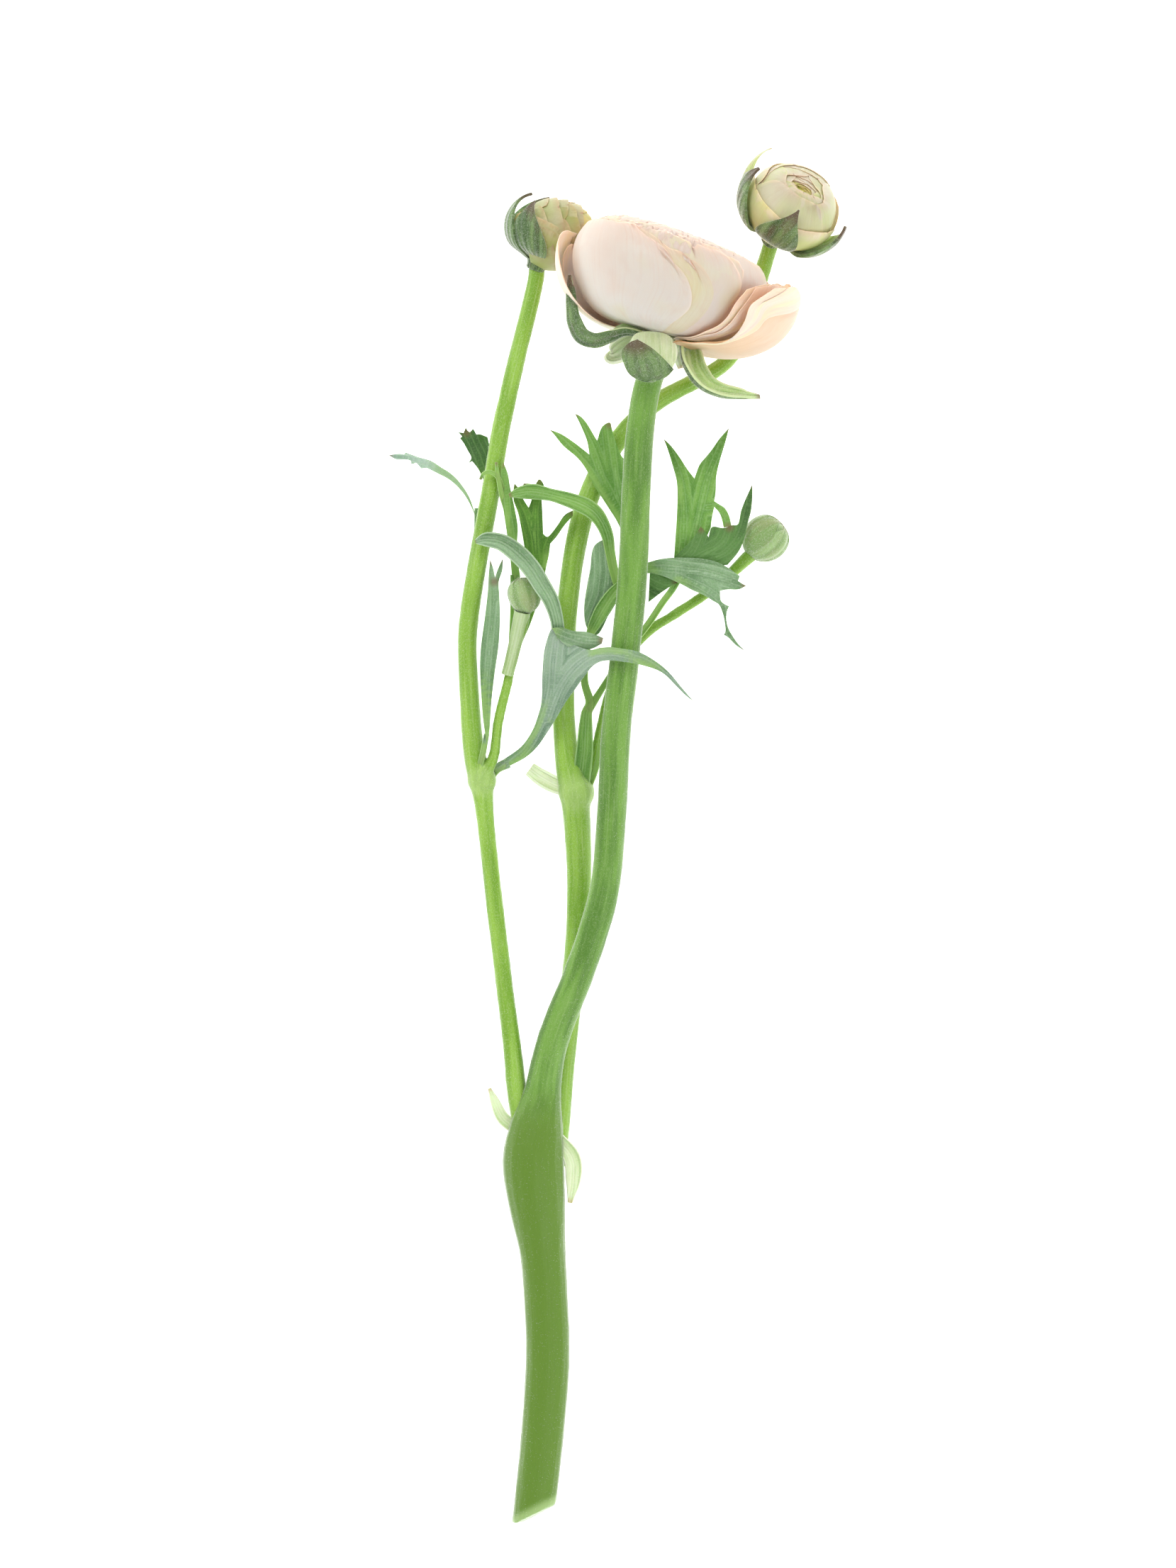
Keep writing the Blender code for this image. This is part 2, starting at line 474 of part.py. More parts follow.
def turned(name, head, profile, into, skin=None, steps=16):
    """A solid of revolution on a head's axis, from a profile of (radius, height) run top to bottom."""
    mesh = bpy.data.meshes.new(name)
    points = [(radius * MM, 0, height * MM) for radius, height in profile]
    mesh.from_pydata(points, [(i, i + 1) for i in range(len(points) - 1)], [])
    obj = place_mesh(name, mesh, into, skin)
    right, front, up = head_axes(head)
    turn = Matrix((front, right, up)).transposed().to_4x4()
    obj.matrix_world = Matrix.Translation(mm(*head["base"])) @ turn
    screw = obj.modifiers.new("turn", "SCREW")
    screw.axis = "Z"
    screw.steps = screw.render_steps = steps
    screw.use_merge_vertices = True
    screw.merge_threshold = MERGE
    return obj


def receptacle_profile(wide, low, high, neck, grow=0.0):
    """From the top centre down the side to the neck, where the stem meets it."""
    return (
        (0, high + grow), (wide - TOP_TAPER + grow, high + grow), (wide + grow, low + EDGE),
        (wide - EDGE + grow, low - EDGE - grow), (neck + grow, low - NECK_LONG - grow),
        (0, low - NECK_LONG - grow),
    )


def receptacle(name, head, wide, low, high, neck):
    skin = material(name, GREEN["sepal_green"])
    turned(name, head, receptacle_profile(wide, low, high, neck), parts, skin)
    return turned("cut_" + name, head, receptacle_profile(wide, low, high, neck, GAP), cutters)


def closed_bud(name, spec, into, skin=None, grow=0.0):
    """A closed bud: an egg of tight sepals, drawn to a point at its tip."""
    centre, tip, half_width, half_length = spec
    work = bmesh.new()
    bmesh.ops.create_uvsphere(work, u_segments=12, v_segments=8, radius=1)
    turn = Vector((0, 0, 1)).rotation_difference(Vector(tip))
    for vert in work.verts:
        height = vert.co.z
        draw = 1 - TIP_DRAW * max(0, height) ** 2
        local = Vector((vert.co.x * draw * (half_width + grow), vert.co.y * draw * (half_width + grow),
                        height * (half_length + grow)))
        vert.co = (Vector(centre) + turn @ local) * MM
    mesh = bpy.data.meshes.new(name)
    work.to_mesh(mesh)
    work.free()
    return place_mesh(name, mesh, into, skin)


def build_flower(cut):
    for i, spec in enumerate(FLOWER_BODY_PETALS, 1):
        petal(f"flower_body_petal_{i}", FLOWER, spec, PETAL_COLOUR, i)
    for i, spec in enumerate(FLOWER_OUTER_PETALS, 1):
        petal(f"flower_outer_petal_{i}", FLOWER, spec, PETAL_COLOUR, i)
    packed_petals("flower_inner_petals", FLOWER, CORE_LAYER, PETAL_COLOUR, 20, 12)
    for side, (face, route) in FLOWER_SEPALS.items():
        name = f"flower_sepal_{side}"
        skin = material(name, GREEN["sepal_green"])
        cut_away(strip(name, route, parts, face, SEPAL_CUP, SEPAL_THICK, skin), cut["flower"])


def build_bud(prefix, head, sepals):
    for i, spec in enumerate(BUD_PETALS, 1):
        petal(f"{prefix}_petal_{i}", head, spec, BUD_PETAL_COLOUR, i, across=8, along=5)
    packed_petals(f"{prefix}_inner_petals", head, CORE_LAYER, BUD_PETAL_COLOUR, 16, 10)
    for side, spec in sepals.items():
        petal(f"{prefix}_sepal_{side}", head, spec, GREEN["sepal_green"], 0, start=SEPAL_START,
              thickness=SEPAL_THICK, across=4, along=7, pointed=True)


clear_scene()
parts = collection("ranunculus")
cutters = collection("cutters")
cuts = stem_cutters()
cuts["flower"] = receptacle("flower_receptacle", FLOWER, wide=7.4, low=-1.6, high=1.2, neck=4.2)
cuts["right_bud"] = receptacle("right_bud_receptacle", RIGHT_BUD, wide=5.2, low=-0.3, high=3.1, neck=2.8)
cuts["left_bud"] = receptacle("left_bud_receptacle", LEFT_BUD, wide=4.4, low=-0.3, high=2.7, neck=2.8)
for bud_name, bud in (("left_small_bud", LEFT_SMALL_BUD), ("right_small_bud", RIGHT_SMALL_BUD)):
    closed_bud(bud_name, bud, parts, skin=material(bud_name, GREEN["sepal_green"]))
    cuts[bud_name] = closed_bud("cut_" + bud_name, bud, cutters, grow=GAP)
build_stems(cuts)
build_leaves(cuts)
build_flower(cuts)
build_bud("right_bud", RIGHT_BUD, RIGHT_BUD_SEPALS)
build_bud("left_bud", LEFT_BUD, LEFT_BUD_SEPALS)
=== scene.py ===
"""The looks of one cut, branched ranunculus: its open flower, its buds and its leaves, lying on its back.

Points and sizes are in millimetres, in the frame's own axes: the stem lies along +Y with the flower at
the far end, +Z is up, and the surface that it lies on is Z = 0. mm() turns them to metres.
"""

import json
import math
import random

import bmesh
import bpy
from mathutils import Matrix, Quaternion, Vector, noise
from mathutils.kdtree import KDTree

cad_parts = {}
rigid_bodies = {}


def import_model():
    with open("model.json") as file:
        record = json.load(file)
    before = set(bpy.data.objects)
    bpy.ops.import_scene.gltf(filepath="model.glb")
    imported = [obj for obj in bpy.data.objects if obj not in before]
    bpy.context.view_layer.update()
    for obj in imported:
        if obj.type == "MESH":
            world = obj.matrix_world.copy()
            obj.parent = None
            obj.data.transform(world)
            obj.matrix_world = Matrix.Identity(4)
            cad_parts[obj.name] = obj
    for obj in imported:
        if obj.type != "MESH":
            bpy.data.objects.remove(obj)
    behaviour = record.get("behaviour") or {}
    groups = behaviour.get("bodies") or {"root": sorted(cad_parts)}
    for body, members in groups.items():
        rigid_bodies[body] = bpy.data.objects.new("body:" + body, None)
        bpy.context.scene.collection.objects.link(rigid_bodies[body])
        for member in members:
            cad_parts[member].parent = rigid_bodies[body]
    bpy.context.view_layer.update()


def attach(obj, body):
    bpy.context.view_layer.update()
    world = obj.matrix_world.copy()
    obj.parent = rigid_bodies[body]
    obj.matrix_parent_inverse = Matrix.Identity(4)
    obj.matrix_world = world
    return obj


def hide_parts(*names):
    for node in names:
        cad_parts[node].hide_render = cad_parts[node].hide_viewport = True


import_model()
bpy.ops.object.select_all(action="DESELECT")

MM = 0.001

# ---- the plant's measures, as in the frame ----

# Stems: (x, y, z, radius), from the cut end or the fork upwards.
MAIN_STEM = (
    (-24.3, -194.6, 5.75, 6.0), (-22, -175, 5.9, 6.1), (-20, -149, 6.4, 6.3), (-20.5, -129, 6.9, 6.3),
    (-21.5, -116, 7.6, 6.7), (-23, -103, 8.6, 8.2), (-24, -91, 9.2, 8.9), (-23, -81, 9.8, 7.6),
    (-21.5, -72, 10.8, 5.4), (-20, -63, 12, 4.7), (-17.5, -54, 13.4, 4.5), (-11.5, -39, 16, 4.4),
    (-7, -26, 18.2, 4.3), (-3.5, -12, 20, 4.25), (-1.5, 11, 23, 4.25), (-0.5, 31, 25.5, 4.25),
    (2, 53, 28.2, 4.25), (4, 73, 30.8, 4.2), (5, 97, 33.8, 4.1), (6, 113, 35.4, 4.0),
    (8, 127, 36.4, 3.9), (11.5, 137.5, 36.8, 3.9),
)
LEFT_BRANCH = (
    (-26, -85, 9, 3.2), (-28.5, -73, 9, 2.9), (-30, -59, 8.2, 2.7), (-33.5, -31, 7.5, 2.5),
    (-36.5, -5, 8.2, 2.5), (-38, 10, 9, 2.8), (-39, 17.5, 9.6, 3.6), (-41, 26, 10.6, 3.1),
    (-42.5, 47, 12.5, 2.85), (-42.5, 60, 13.2, 2.8), (-40, 77, 14, 2.8), (-36, 99, 14.2, 2.75),
    (-33, 117, 13.9, 2.65), (-29, 135, 13.2, 2.5), (-25.5, 149, 12.6, 2.5), (-23.4, 158, 12.2, 2.4),
    (-22.8, 163.5, 12, 2.4),
)
MIDDLE_BRANCH = (
    (-18, -93, 7, 3.0), (-17, -81, 5.6, 3.4), (-16, -69, 4.4, 3.4), (-14.5, -53, 4.0, 3.4),
    (-12, -33, 5.2, 3.4), (-11, -13, 7, 3.5), (-11.5, 3, 8.8, 3.8), (-12.5, 14, 10, 4.3),
    (-14.5, 24, 11, 3.5), (-15.5, 39, 12, 3.2), (-15, 59, 12.6, 3.05), (-13, 77, 12.4, 3.05),
    (-10, 92, 11.6, 3.1), (-4.5, 106, 10.4, 2.9), (2.5, 116.5, 9.2, 2.7), (11.5, 124.5, 7.6, 2.5),
    (22.5, 130.5, 5.6, 2.4), (30.5, 135.5, 4, 2.35), (36.5, 145, 3.2, 2.3), (39.5, 156, 3.8, 2.3),
    (41.5, 163, 5.8, 2.3), (43.6, 169.5, 8.4, 2.3),
)
LEFT_BUD_STALK = (
    (-37.5, 18, 11, 1.6), (-35, 24.5, 13.5, 1.5), (-34, 33, 15.2, 1.45), (-31.5, 43.5, 16.8, 1.45),
    (-29.5, 53.5, 18.4, 1.6), (-28, 59, 19.4, 2.2), (-27, 64.5, 20.3, 2.4),
)
RIGHT_BUD_STALK = (
    (-10, 16, 8.5, 1.7), (-7, 22, 8.6, 1.6), (-5, 31, 9.8, 1.5), (-2.5, 41, 11.2, 1.5),
    (1, 50, 12, 1.5), (8, 58.5, 12.4, 1.5), (15.5, 63.5, 12.5, 1.5), (25.5, 70, 12.5, 1.5),
    (32.5, 76, 12.3, 1.7), (38, 81, 12.1, 2.1),
)

# Swollen nodes: the centre, the way that the stem goes, half the width and the length, how pale the node is,
# and how far from its centre that shows.
LEFT_NODE = ((-38.6, 17, 9.6), (-0.1, 1, 0.1), 4.2, 4.5, 0.7, 7)
MIDDLE_NODE = ((-11.8, 13.5, 9.8), (0, 1, 0.1), 5.2, 5.5, 0.6, 9)

# Heads: the base, the way that the head faces, how high its shells' common centre lies above the base, how
# far its shells lean to the left, and their outlines as (angle from straight down in degrees, distance from
# that centre): the body's, and that of the outer petals and sepals, which layer 2 is.
FLOWER = {
    "base": (12.5, 140.5, 36.9), "up": (0.2584, 0.9646, -0.0523), "centre": 12.0, "lean": 0.085,
    "body": ((0, 12), (34, 13), (46, 14.6), (69, 21.8), (87, 26), (102, 29.3), (112, 30.3),
             (124, 29.6), (142, 24.6), (160, 20.2), (180, 18.6)),
    "outer": ((0, 14.4), (34, 15.6), (46, 17.2), (60, 23.5), (72, 28.5), (84, 33), (96, 36),
              (106, 37.3), (116, 36.8), (125, 36), (180, 30)),
}
BUD_BODY = ((0, 9), (34, 9.8), (60, 12), (90, 13), (120, 13.2), (150, 12.4), (180, 11.6))
BUD_OUTER = ((0, 12), (34, 12.8), (60, 16.2), (90, 18), (120, 18), (150, 16), (180, 14.5))


def scaled(outline, by):
    return tuple((angle, by * reach) for angle, reach in outline)


RIGHT_BUD = {
    "base": (43.6, 170.4, 9.25), "up": (0.480, 0.741, 0.470), "centre": 11.2, "lean": 0.0,
    "body": scaled(BUD_BODY, 1.05), "outer": scaled(BUD_OUTER, 1.02),
}
LEFT_BUD = {
    "base": (-23.0, 163.0, 12.7), "up": (0.40, 0.9165, 0.0), "centre": 9.0, "lean": 0.10,
    "body": scaled(BUD_BODY, 0.84), "outer": scaled(BUD_OUTER, 0.84),
}


# ---- small helpers ----

def mm(*point):
    return Vector(point[:3]) * MM


def only(*objects):
    """Selects these objects and no others, with the first one active."""
    bpy.ops.object.select_all(action="DESELECT")
    for obj in objects:
        obj.select_set(True)
    bpy.context.view_layer.objects.active = objects[0]


def apply(obj, kind, **settings):
    """Adds one modifier with its settings and applies it."""
    only(obj)
    modifier = obj.modifiers.new(kind.lower(), kind)
    for name, value in settings.items():
        setattr(modifier, name, value)
    bpy.ops.object.modifier_apply(modifier=modifier.name)


def edit(obj, change):
    """Makes a change in edit mode, with the whole mesh selected."""
    only(obj)
    bpy.ops.object.mode_set(mode="EDIT")
    bpy.ops.mesh.select_all(action="SELECT")
    change()
    bpy.ops.object.mode_set(mode="OBJECT")


def join(name, objects):
    only(*objects)
    if len(objects) > 1:
        bpy.ops.object.join()
    whole = bpy.context.view_layer.objects.active
    whole.name = name
    return whole


def smooth(obj, angle=50):
    only(obj)
    bpy.ops.object.shade_smooth_by_angle(angle=math.radians(angle))


def piece(obj, slot, *nodes):
    """One finished piece of the plant: it rides on the root, and stands for these CAD nodes."""
    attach(obj, "root")
    if nodes:
        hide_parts(*nodes)
    return obj


def smooth_route(route, steps):
    """Route points with steps - 1 more between each two, on a Catmull-Rom curve."""
    points = [Vector(p) for p in route]
    ends = [2 * points[0] - points[1]] + points + [2 * points[-1] - points[-2]]
    result = []
    for a, b, c, d in zip(ends, ends[1:], ends[2:], ends[3:]):
        for k in range(steps):
            t = k / steps
            result.append(0.5 * (2 * b + (c - a) * t + (2 * a - 5 * b + 4 * c - d) * t ** 2
                                 + (3 * b - a - 3 * c + d) * t ** 3))
    return result + [points[-1]]


def smooth_value(table, at):
    """The value at a place in a table of (place, value), on a curve through its points."""
    places = [row[0] for row in table]
    values = [row[1] for row in table]
    i = max(0, min(len(table) - 2, sum(1 for p in places[1:-1] if p <= at)))

    def slope(k):
        low, high = max(0, k - 1), min(len(table) - 1, k + 1)
        return (values[high] - values[low]) / (places[high] - places[low])

    span = places[i + 1] - places[i]
    t = (at - places[i]) / span
    return ((2 * t ** 3 - 3 * t ** 2 + 1) * values[i] + (t ** 3 - 2 * t ** 2 + t) * span * slope(i)
            + (3 * t ** 2 - 2 * t ** 3) * values[i + 1] + (t ** 3 - t ** 2) * span * slope(i + 1))


def step(low, high, at):
    t = max(0.0, min(1.0, (at - low) / (high - low)))
    return t * t * (3 - 2 * t)


def wander(*at):
    """Smooth noise from about -1 to 1."""
    return noise.noise(Vector((at + (0.0, 0.0, 0.0))[:3]))


def store(mesh, name, values):
    """Keeps one vector for each vertex, which the materials read."""
    attribute = mesh.attributes.get(name) or mesh.attributes.new(name, "FLOAT_VECTOR", "POINT")
    attribute.data.foreach_set("vector", [c for value in values for c in value])


def dress(obj, skins, grains, places):
    """Gives a piece its skins, and what they read: straightened coordinates, and places on the organ."""
    store(obj.data, "grain", grains)
    store(obj.data, "place", places)
    for skin in skins:
        obj.data.materials.append(skin)


# ---- materials ----

def colour(code):
    """An sRGB hex value as linear RGBA."""
    parts = [int(code[i:i + 2], 16) / 255 for i in (1, 3, 5)]
    return tuple(c / 12.92 if c <= 0.04045 else ((c + 0.055) / 1.055) ** 2.4 for c in parts) + (1.0,)


def add(tree, kind, settings=(), stops=(), **inputs):
    """Adds one node: its settings by name, a ramp's stops as (place, hex colour), and its inputs.

    An input goes by its name, or by its number after an underscore, and is a value or a link.
    """
    made = tree.nodes.new("ShaderNode" + kind)
    for name, value in dict(settings).items():
        setattr(made, name, value)
    if stops:
        elements = made.color_ramp.elements
        while len(elements) < len(stops):
            elements.new(0.5)
        for element, (place, code) in zip(elements, stops):
            element.position = place
            element.color = colour(code)
    for name, value in inputs.items():
        socket = made.inputs[int(name[1:]) if name[0] == "_" else name.replace("_", " ")]
        if isinstance(value, bpy.types.NodeSocket):
            tree.links.new(value, socket)
        else:
            socket.default_value = value
    return made


def mask(tree, most, *limits):
    """How much of a coat shows, up to most, within all its limits.

    A limit is (value, where the coat starts to show, where it is full), or a share of its own.
    """
    shown = most
    for limit in limits:
        if isinstance(limit, tuple):
            value, start, full = limit
            limit = add(tree, "MapRange", {"interpolation_type": "SMOOTHSTEP"}, Value=value, From_Min=start,
                        From_Max=full).outputs["Result"]
        shown = add(tree, "Math", {"operation": "MULTIPLY"}, _0=limit, _1=shown).outputs[0]
    return shown


def coat(tree, base, over, most, *limits, blend="MIX"):
    """Lays a hex colour over the base, as far as its mask shows it."""
    return add(tree, "Mix", {"data_type": "RGBA", "blend_type": blend}, _0=mask(tree, most, *limits),
               _6=base, _7=colour(over)).outputs[2]


def new_material(name, **inputs):
    """A new material, its tree, and its shader with these values."""
    material = bpy.data.materials.new(name)
    material.use_nodes = True
    shader = material.node_tree.nodes["Principled BSDF"]
    for key, value in inputs.items():
        shader.inputs[key.replace("_", " ")].default_value = value
    return material, material.node_tree, shader


def stored_on_mesh(tree):
    """What dress() stores on a mesh: its straightened coordinates, and its places as X, Y and Z."""
    grain = add(tree, "Attribute", {"attribute_name": "grain"}).outputs["Vector"]
    place = add(tree, "Attribute", {"attribute_name": "place"}).outputs["Vector"]
    return grain, add(tree, "SeparateXYZ", Vector=place).outputs


def pattern(tree, grain, scale, detail=2.0):
    """Noise on the tissue's own straightened coordinates; scale is per millimetre, across, out, along."""
    spread = add(tree, "VectorMath", {"operation": "MULTIPLY"}, _0=grain, _1=scale).outputs[0]
    return add(tree, "TexNoise", Vector=spread, Scale=1.0, Detail=detail).outputs["Fac"]


def ridges(tree, grain, scale, distortion):
    """Waving ridges along the tissue, side by side; scale is per millimetre."""
    return add(tree, "TexWave", {"wave_type": "BANDS", "bands_direction": "X"}, Vector=grain, Scale=scale,
               Distortion=distortion, Detail=2.0).outputs["Fac"]


def finish_tissue(tree, shader, base, height, depth):
    """Gives a shader its colour, and a bump this many millimetres deep."""
    tree.links.new(base, shader.inputs["Base Color"])
    bump = add(tree, "Bump", Strength=0.6, Distance=depth * MM, Height=height)
    tree.links.new(bump.outputs["Normal"], shader.inputs["Normal"])


def petal_tissue(name, low, middle, high, rim, blush, warm, edge=None):
    """Petal: thin, moist, translucent cells, so light comes through it; fine veins fan up from its foot.

    It bruises brown where its rim is notched. edge is the colour towards its sides, where it differs.
    """
    material, tree, shader = new_material(
        name, Roughness=0.5, IOR=1.4, Subsurface_Weight=0.5, Subsurface_Scale=0.003,
        Subsurface_Radius=(1.0, 0.66, 0.46), Sheen_Weight=0.2, Sheen_Roughness=0.4)
    grain, place = stored_on_mesh(tree)
    rise = place["Y"]
    base = add(tree, "ValToRGB", stops=((0.0, low), (0.35, middle), (0.85, high), (1.0, rim)),
               Fac=rise).outputs["Color"]
    blotch = pattern(tree, grain, (0.05, 0.5, 0.04))
    base = coat(tree, base, blush, 0.6, (blotch, 0.50, 0.66))
    base = coat(tree, base, warm, 0.6, (blotch, 0.50, 0.34))
    if edge:
        from_middle = add(tree, "Math", {"operation": "ABSOLUTE"}, _0=place["X"]).outputs[0]
        outline = add(tree, "Math", {"operation": "MAXIMUM"}, _0=mask(tree, 1.0, (from_middle, 0.62, 0.98)),
                      _1=mask(tree, 1.0, (rise, 0.93, 1.0))).outputs[0]
        base = coat(tree, base, edge, 1.0, outline)
    # Pinker patches below the rim: partly the petal's own blush, partly painted shade of its crumples.
    creases = pattern(tree, grain, (0.28, 0.3, 0.22), 3.0)
    base = coat(tree, base, blush, 0.7, (rise, 0.72, 0.92), (creases, 0.48, 0.62))
    veins = pattern(tree, grain, (1.3, 0.3, 0.05), 3.0)
    base = coat(tree, base, blush, 0.14, (veins, 0.48, 0.72), blend="MULTIPLY")
    mottle = pattern(tree, grain, (0.22, 0.3, 0.16), 3.0)
    base = coat(tree, base, rim, 0.3, (mottle, 0.5, 0.75))
    base = coat(tree, base, BRUISE, 0.8, (place["Z"], 0.2, 0.8), (rise, 0.95, 0.995))
    relief = add(tree, "Math", {"operation": "ADD"}, _0=veins, _1=mottle).outputs[0]
    finish_tissue(tree, shader, base, relief, 0.14)
    return material


def stem_tissue(name, dark, light, pale, low_end=None):
    """Stem: smooth green skin with fine ribs along it, under a thin coat of white down that catches light."""
    material, tree, shader = new_material(
        name, Roughness=0.5, IOR=1.42, Subsurface_Weight=0.18, Subsurface_Scale=0.002,
        Subsurface_Radius=(0.6, 1.0, 0.3), Sheen_Weight=0.9, Sheen_Roughness=0.3)
    grain, place = stored_on_mesh(tree)
    streaks = pattern(tree, grain, (0.4, 0.4, 0.035))
    base = coat(tree, colour(dark), light, 1.0, (streaks, 0.34, 0.66))
    patches = pattern(tree, grain, (0.08, 0.08, 0.03))
    base = coat(tree, base, light, 0.5, (patches, 0.48, 0.75))
    ribs = pattern(tree, grain, (1.6, 1.6, 0.05))
    base = coat(tree, base, pale, 0.25, (ribs, 0.5, 0.8))
    cells = pattern(tree, grain, (3.0, 3.0, 2.0))
    base = coat(tree, base, pale, 0.2, (cells, 0.45, 0.7))
    if low_end:
        base = coat(tree, base, low_end, 1.0, place["X"])
    base = coat(tree, base, pale, 1.0, place["Y"])
    finish_tissue(tree, shader, base, ribs, 0.2)
    return material


def leaf_tissue(name, dark, light, vein, tip, stalk="#8FB35C"):
    """Leaf: a thin matt blade with a bloom of fine down, paler veins and edges, and a purple-brown tip.

    Its stalk is smoother and yellower than its blade, and stained reddish brown where it clasps the stem.
    """
    material, tree, shader = new_material(
        name, Roughness=0.6, IOR=1.42, Subsurface_Weight=0.2, Subsurface_Scale=0.0012,
        Subsurface_Radius=(0.5, 1.0, 0.25), Sheen_Weight=0.35, Sheen_Roughness=0.4)
    grain, place = stored_on_mesh(tree)
    shade = pattern(tree, grain, (0.35, 0.35, 0.06), 4.0)
    base = coat(tree, colour(dark), light, 1.0, (shade, 0.36, 0.64))
    broad = pattern(tree, grain, (0.09, 0.09, 0.05))
    base = coat(tree, base, dark, 0.5, (broad, 0.45, 0.7))
    pleats = ridges(tree, grain, 0.2, 1.6)
    base = coat(tree, base, vein, 0.22, (pleats, 0.7, 1.0))
    from_rib = add(tree, "Math", {"operation": "ABSOLUTE"}, _0=place["X"]).outputs[0]
    base = coat(tree, base, vein, 0.4, (from_rib, 0.12, 0.02))
    base = coat(tree, base, vein, 0.55, (from_rib, 0.88, 1.0))
    # Pale specks: partly the down's own colour, partly painted glints where the down catches light.
    down = pattern(tree, grain, (3.4, 3.4, 2.2), 3.0)
    base = coat(tree, base, vein, 0.3, (down, 0.42, 0.75))
    on_stalk = place["Z"]
    base = coat(tree, base, stalk, 0.8, on_stalk)
    from_foot = add(tree, "SeparateXYZ", Vector=grain).outputs["Z"]
    base = coat(tree, base, CLASP_STAIN, 0.6, (from_foot, 9, 2), (shade, 0.4, 0.6), on_stalk)
    base = coat(tree, base, tip, 0.75, (place["Y"], 0.93, 1.0))
    finish_tissue(tree, shader, base, pleats, 0.15)
    return material


def sepal_tissue(name, dark, light, flush, ribbed=0.5):
    """Sepal back: dark green with darker ribs, flushed purple-brown, and covered with silver hairs."""
    material, tree, shader = new_material(
        name, Roughness=0.62, IOR=1.42, Subsurface_Weight=0.1, Subsurface_Scale=0.001,
        Subsurface_Radius=(0.5, 1.0, 0.3), Sheen_Weight=0.7, Sheen_Roughness=0.35)
    grain, place = stored_on_mesh(tree)
    shade = pattern(tree, grain, (0.5, 0.5, 0.08), 3.0)
    base = coat(tree, colour(dark), light, 1.0, (shade, 0.38, 0.62))
    ribs = ridges(tree, grain, 0.13, 1.2)
    base = coat(tree, base, dark, ribbed, (ribs, 0.55, 1.0))
    stain = pattern(tree, grain, (0.3, 0.3, 0.15))
    base = coat(tree, base, flush, 0.5, (stain, 0.52, 0.7))
    silver = pattern(tree, grain, (3.6, 3.6, 2.4), 3.0)
    base = coat(tree, base, SILVER_DOWN, 0.4, (silver, 0.45, 0.75))
    base = coat(tree, base, flush, 0.85, (place["Y"], 0.78, 0.95))
    finish_tissue(tree, shader, base, ribs, 0.3)
    return material


def speckled(name, scale, detail, dark, light, **inputs):
    """A plain material whose colour varies a little in fine specks, on Object coordinates."""
    material, tree, shader = new_material(name, **inputs)
    where = add(tree, "TexCoord").outputs["Object"]
    specks = add(tree, "TexNoise", Vector=where, Scale=scale, Detail=detail).outputs["Fac"]
    tint = add(tree, "ValToRGB", stops=((0.3, dark), (0.7, light)), Fac=specks).outputs["Color"]
    tree.links.new(tint, shader.inputs["Base Color"])
    return material


BRUISE = "#B07A68"           # brown, where a petal's rim is notched
CLASP_STAIN = "#7C5A3E"      # reddish brown, where a leaf's stalk clasps the stem
SILVER_DOWN = "#B4C2A6"

# Petals: the colours of the foot, the middle, the upper part and the rim, the blush and the warm blotches.
# Its greyer foot colour is painted shade, where the petals close in round the base.
PEACH = petal_tissue("peach_petal_back", "#E2D3C6", "#F2DECA", "#F6DCC4", "#F2C8AE", "#F5D0B8", "#F3DFA8")
# Its orange is partly the face's own colour, partly a painted glow of light coming through the petals and
# bouncing between them.
APRICOT = petal_tissue("peach_petal_face", "#F3A868", "#F8B87C", "#F9B98A", "#F2B291", "#F7A878", "#F9CC82",
                       edge="#FBDFC6")
# A paler face for petals whose face lies in shadow: partly its own colour, partly painted light that lifts
# that shadow.
PALE_FACE = petal_tissue("pale_petal_face", "#F6CE8A", "#FBE6CC", "#FDEBDC", "#FBDCC4", "#FBDCC6", "#F9D999")
LIT_PEACH = petal_tissue("peach_petal_lit_through", "#CF9A70", "#E2B48E", "#EAC4A4", "#F0D0B8", "#E6B492",
                         "#EBC08E")
# Its darker foot colour is painted shade, as on the peach back.
WARM_PEACH = petal_tissue("peach_petal_warm", "#E4D2B2", "#F0DAB2", "#F3DCB8", "#F0C6A4", "#F2D0AC",
                          "#F0D89C")
# The rim faces' rosy brown is partly the rim's own colour, partly painted shade along the edges where petals
# overlap.
PEACH_RIM = petal_tissue("peach_petal_rim", "#F2D8C0", "#F4D8C0", "#F0C8AE", "#E4AE94", "#EBB8A0", "#F2D6B0")
CREAM = petal_tissue("bud_petal_back", "#C8D25C", "#DCD878", "#E8DDA2", "#E2C2A0", "#EDD8B4", "#CEDA70")
CREAM_FACE = petal_tissue("bud_petal_face", "#CBD670", "#DCDC84", "#E2D69A", "#D9B48C", "#E4D094", "#CFDB78")
CREAM_RIM = petal_tissue("bud_petal_rim", "#DCDC9C", "#E2D8A8", "#DEC09C", "#D2A482", "#D8B490", "#DAD690")
BUD_EYE = petal_tissue("bud_eye", "#C0CC4E", "#D2D468", "#DCD67A", "#D6B86C", "#DEC874", "#B8CC58")
GREENISH = petal_tissue("green_bud_back", "#909C3C", "#AAAE58", "#C6C07E", "#BC9A70", "#CEC08C", "#9CAA48")
GREENISH_RIM = petal_tissue("green_bud_rim", "#C4C484", "#CCC08C", "#C8AC84", "#B88A68", "#C4A07A", "#C4C278")
# Stems: the dark and the light green, the pale down, and the colour of the swollen base.
STEM_GREEN = stem_tissue("stem_skin", "#4F7B24", "#6E9B3C", "#A3C07C", "#5C8020")
BRANCH_GREEN = stem_tissue("branch_skin", "#6F9C22", "#8DB743", "#CBDDA2")
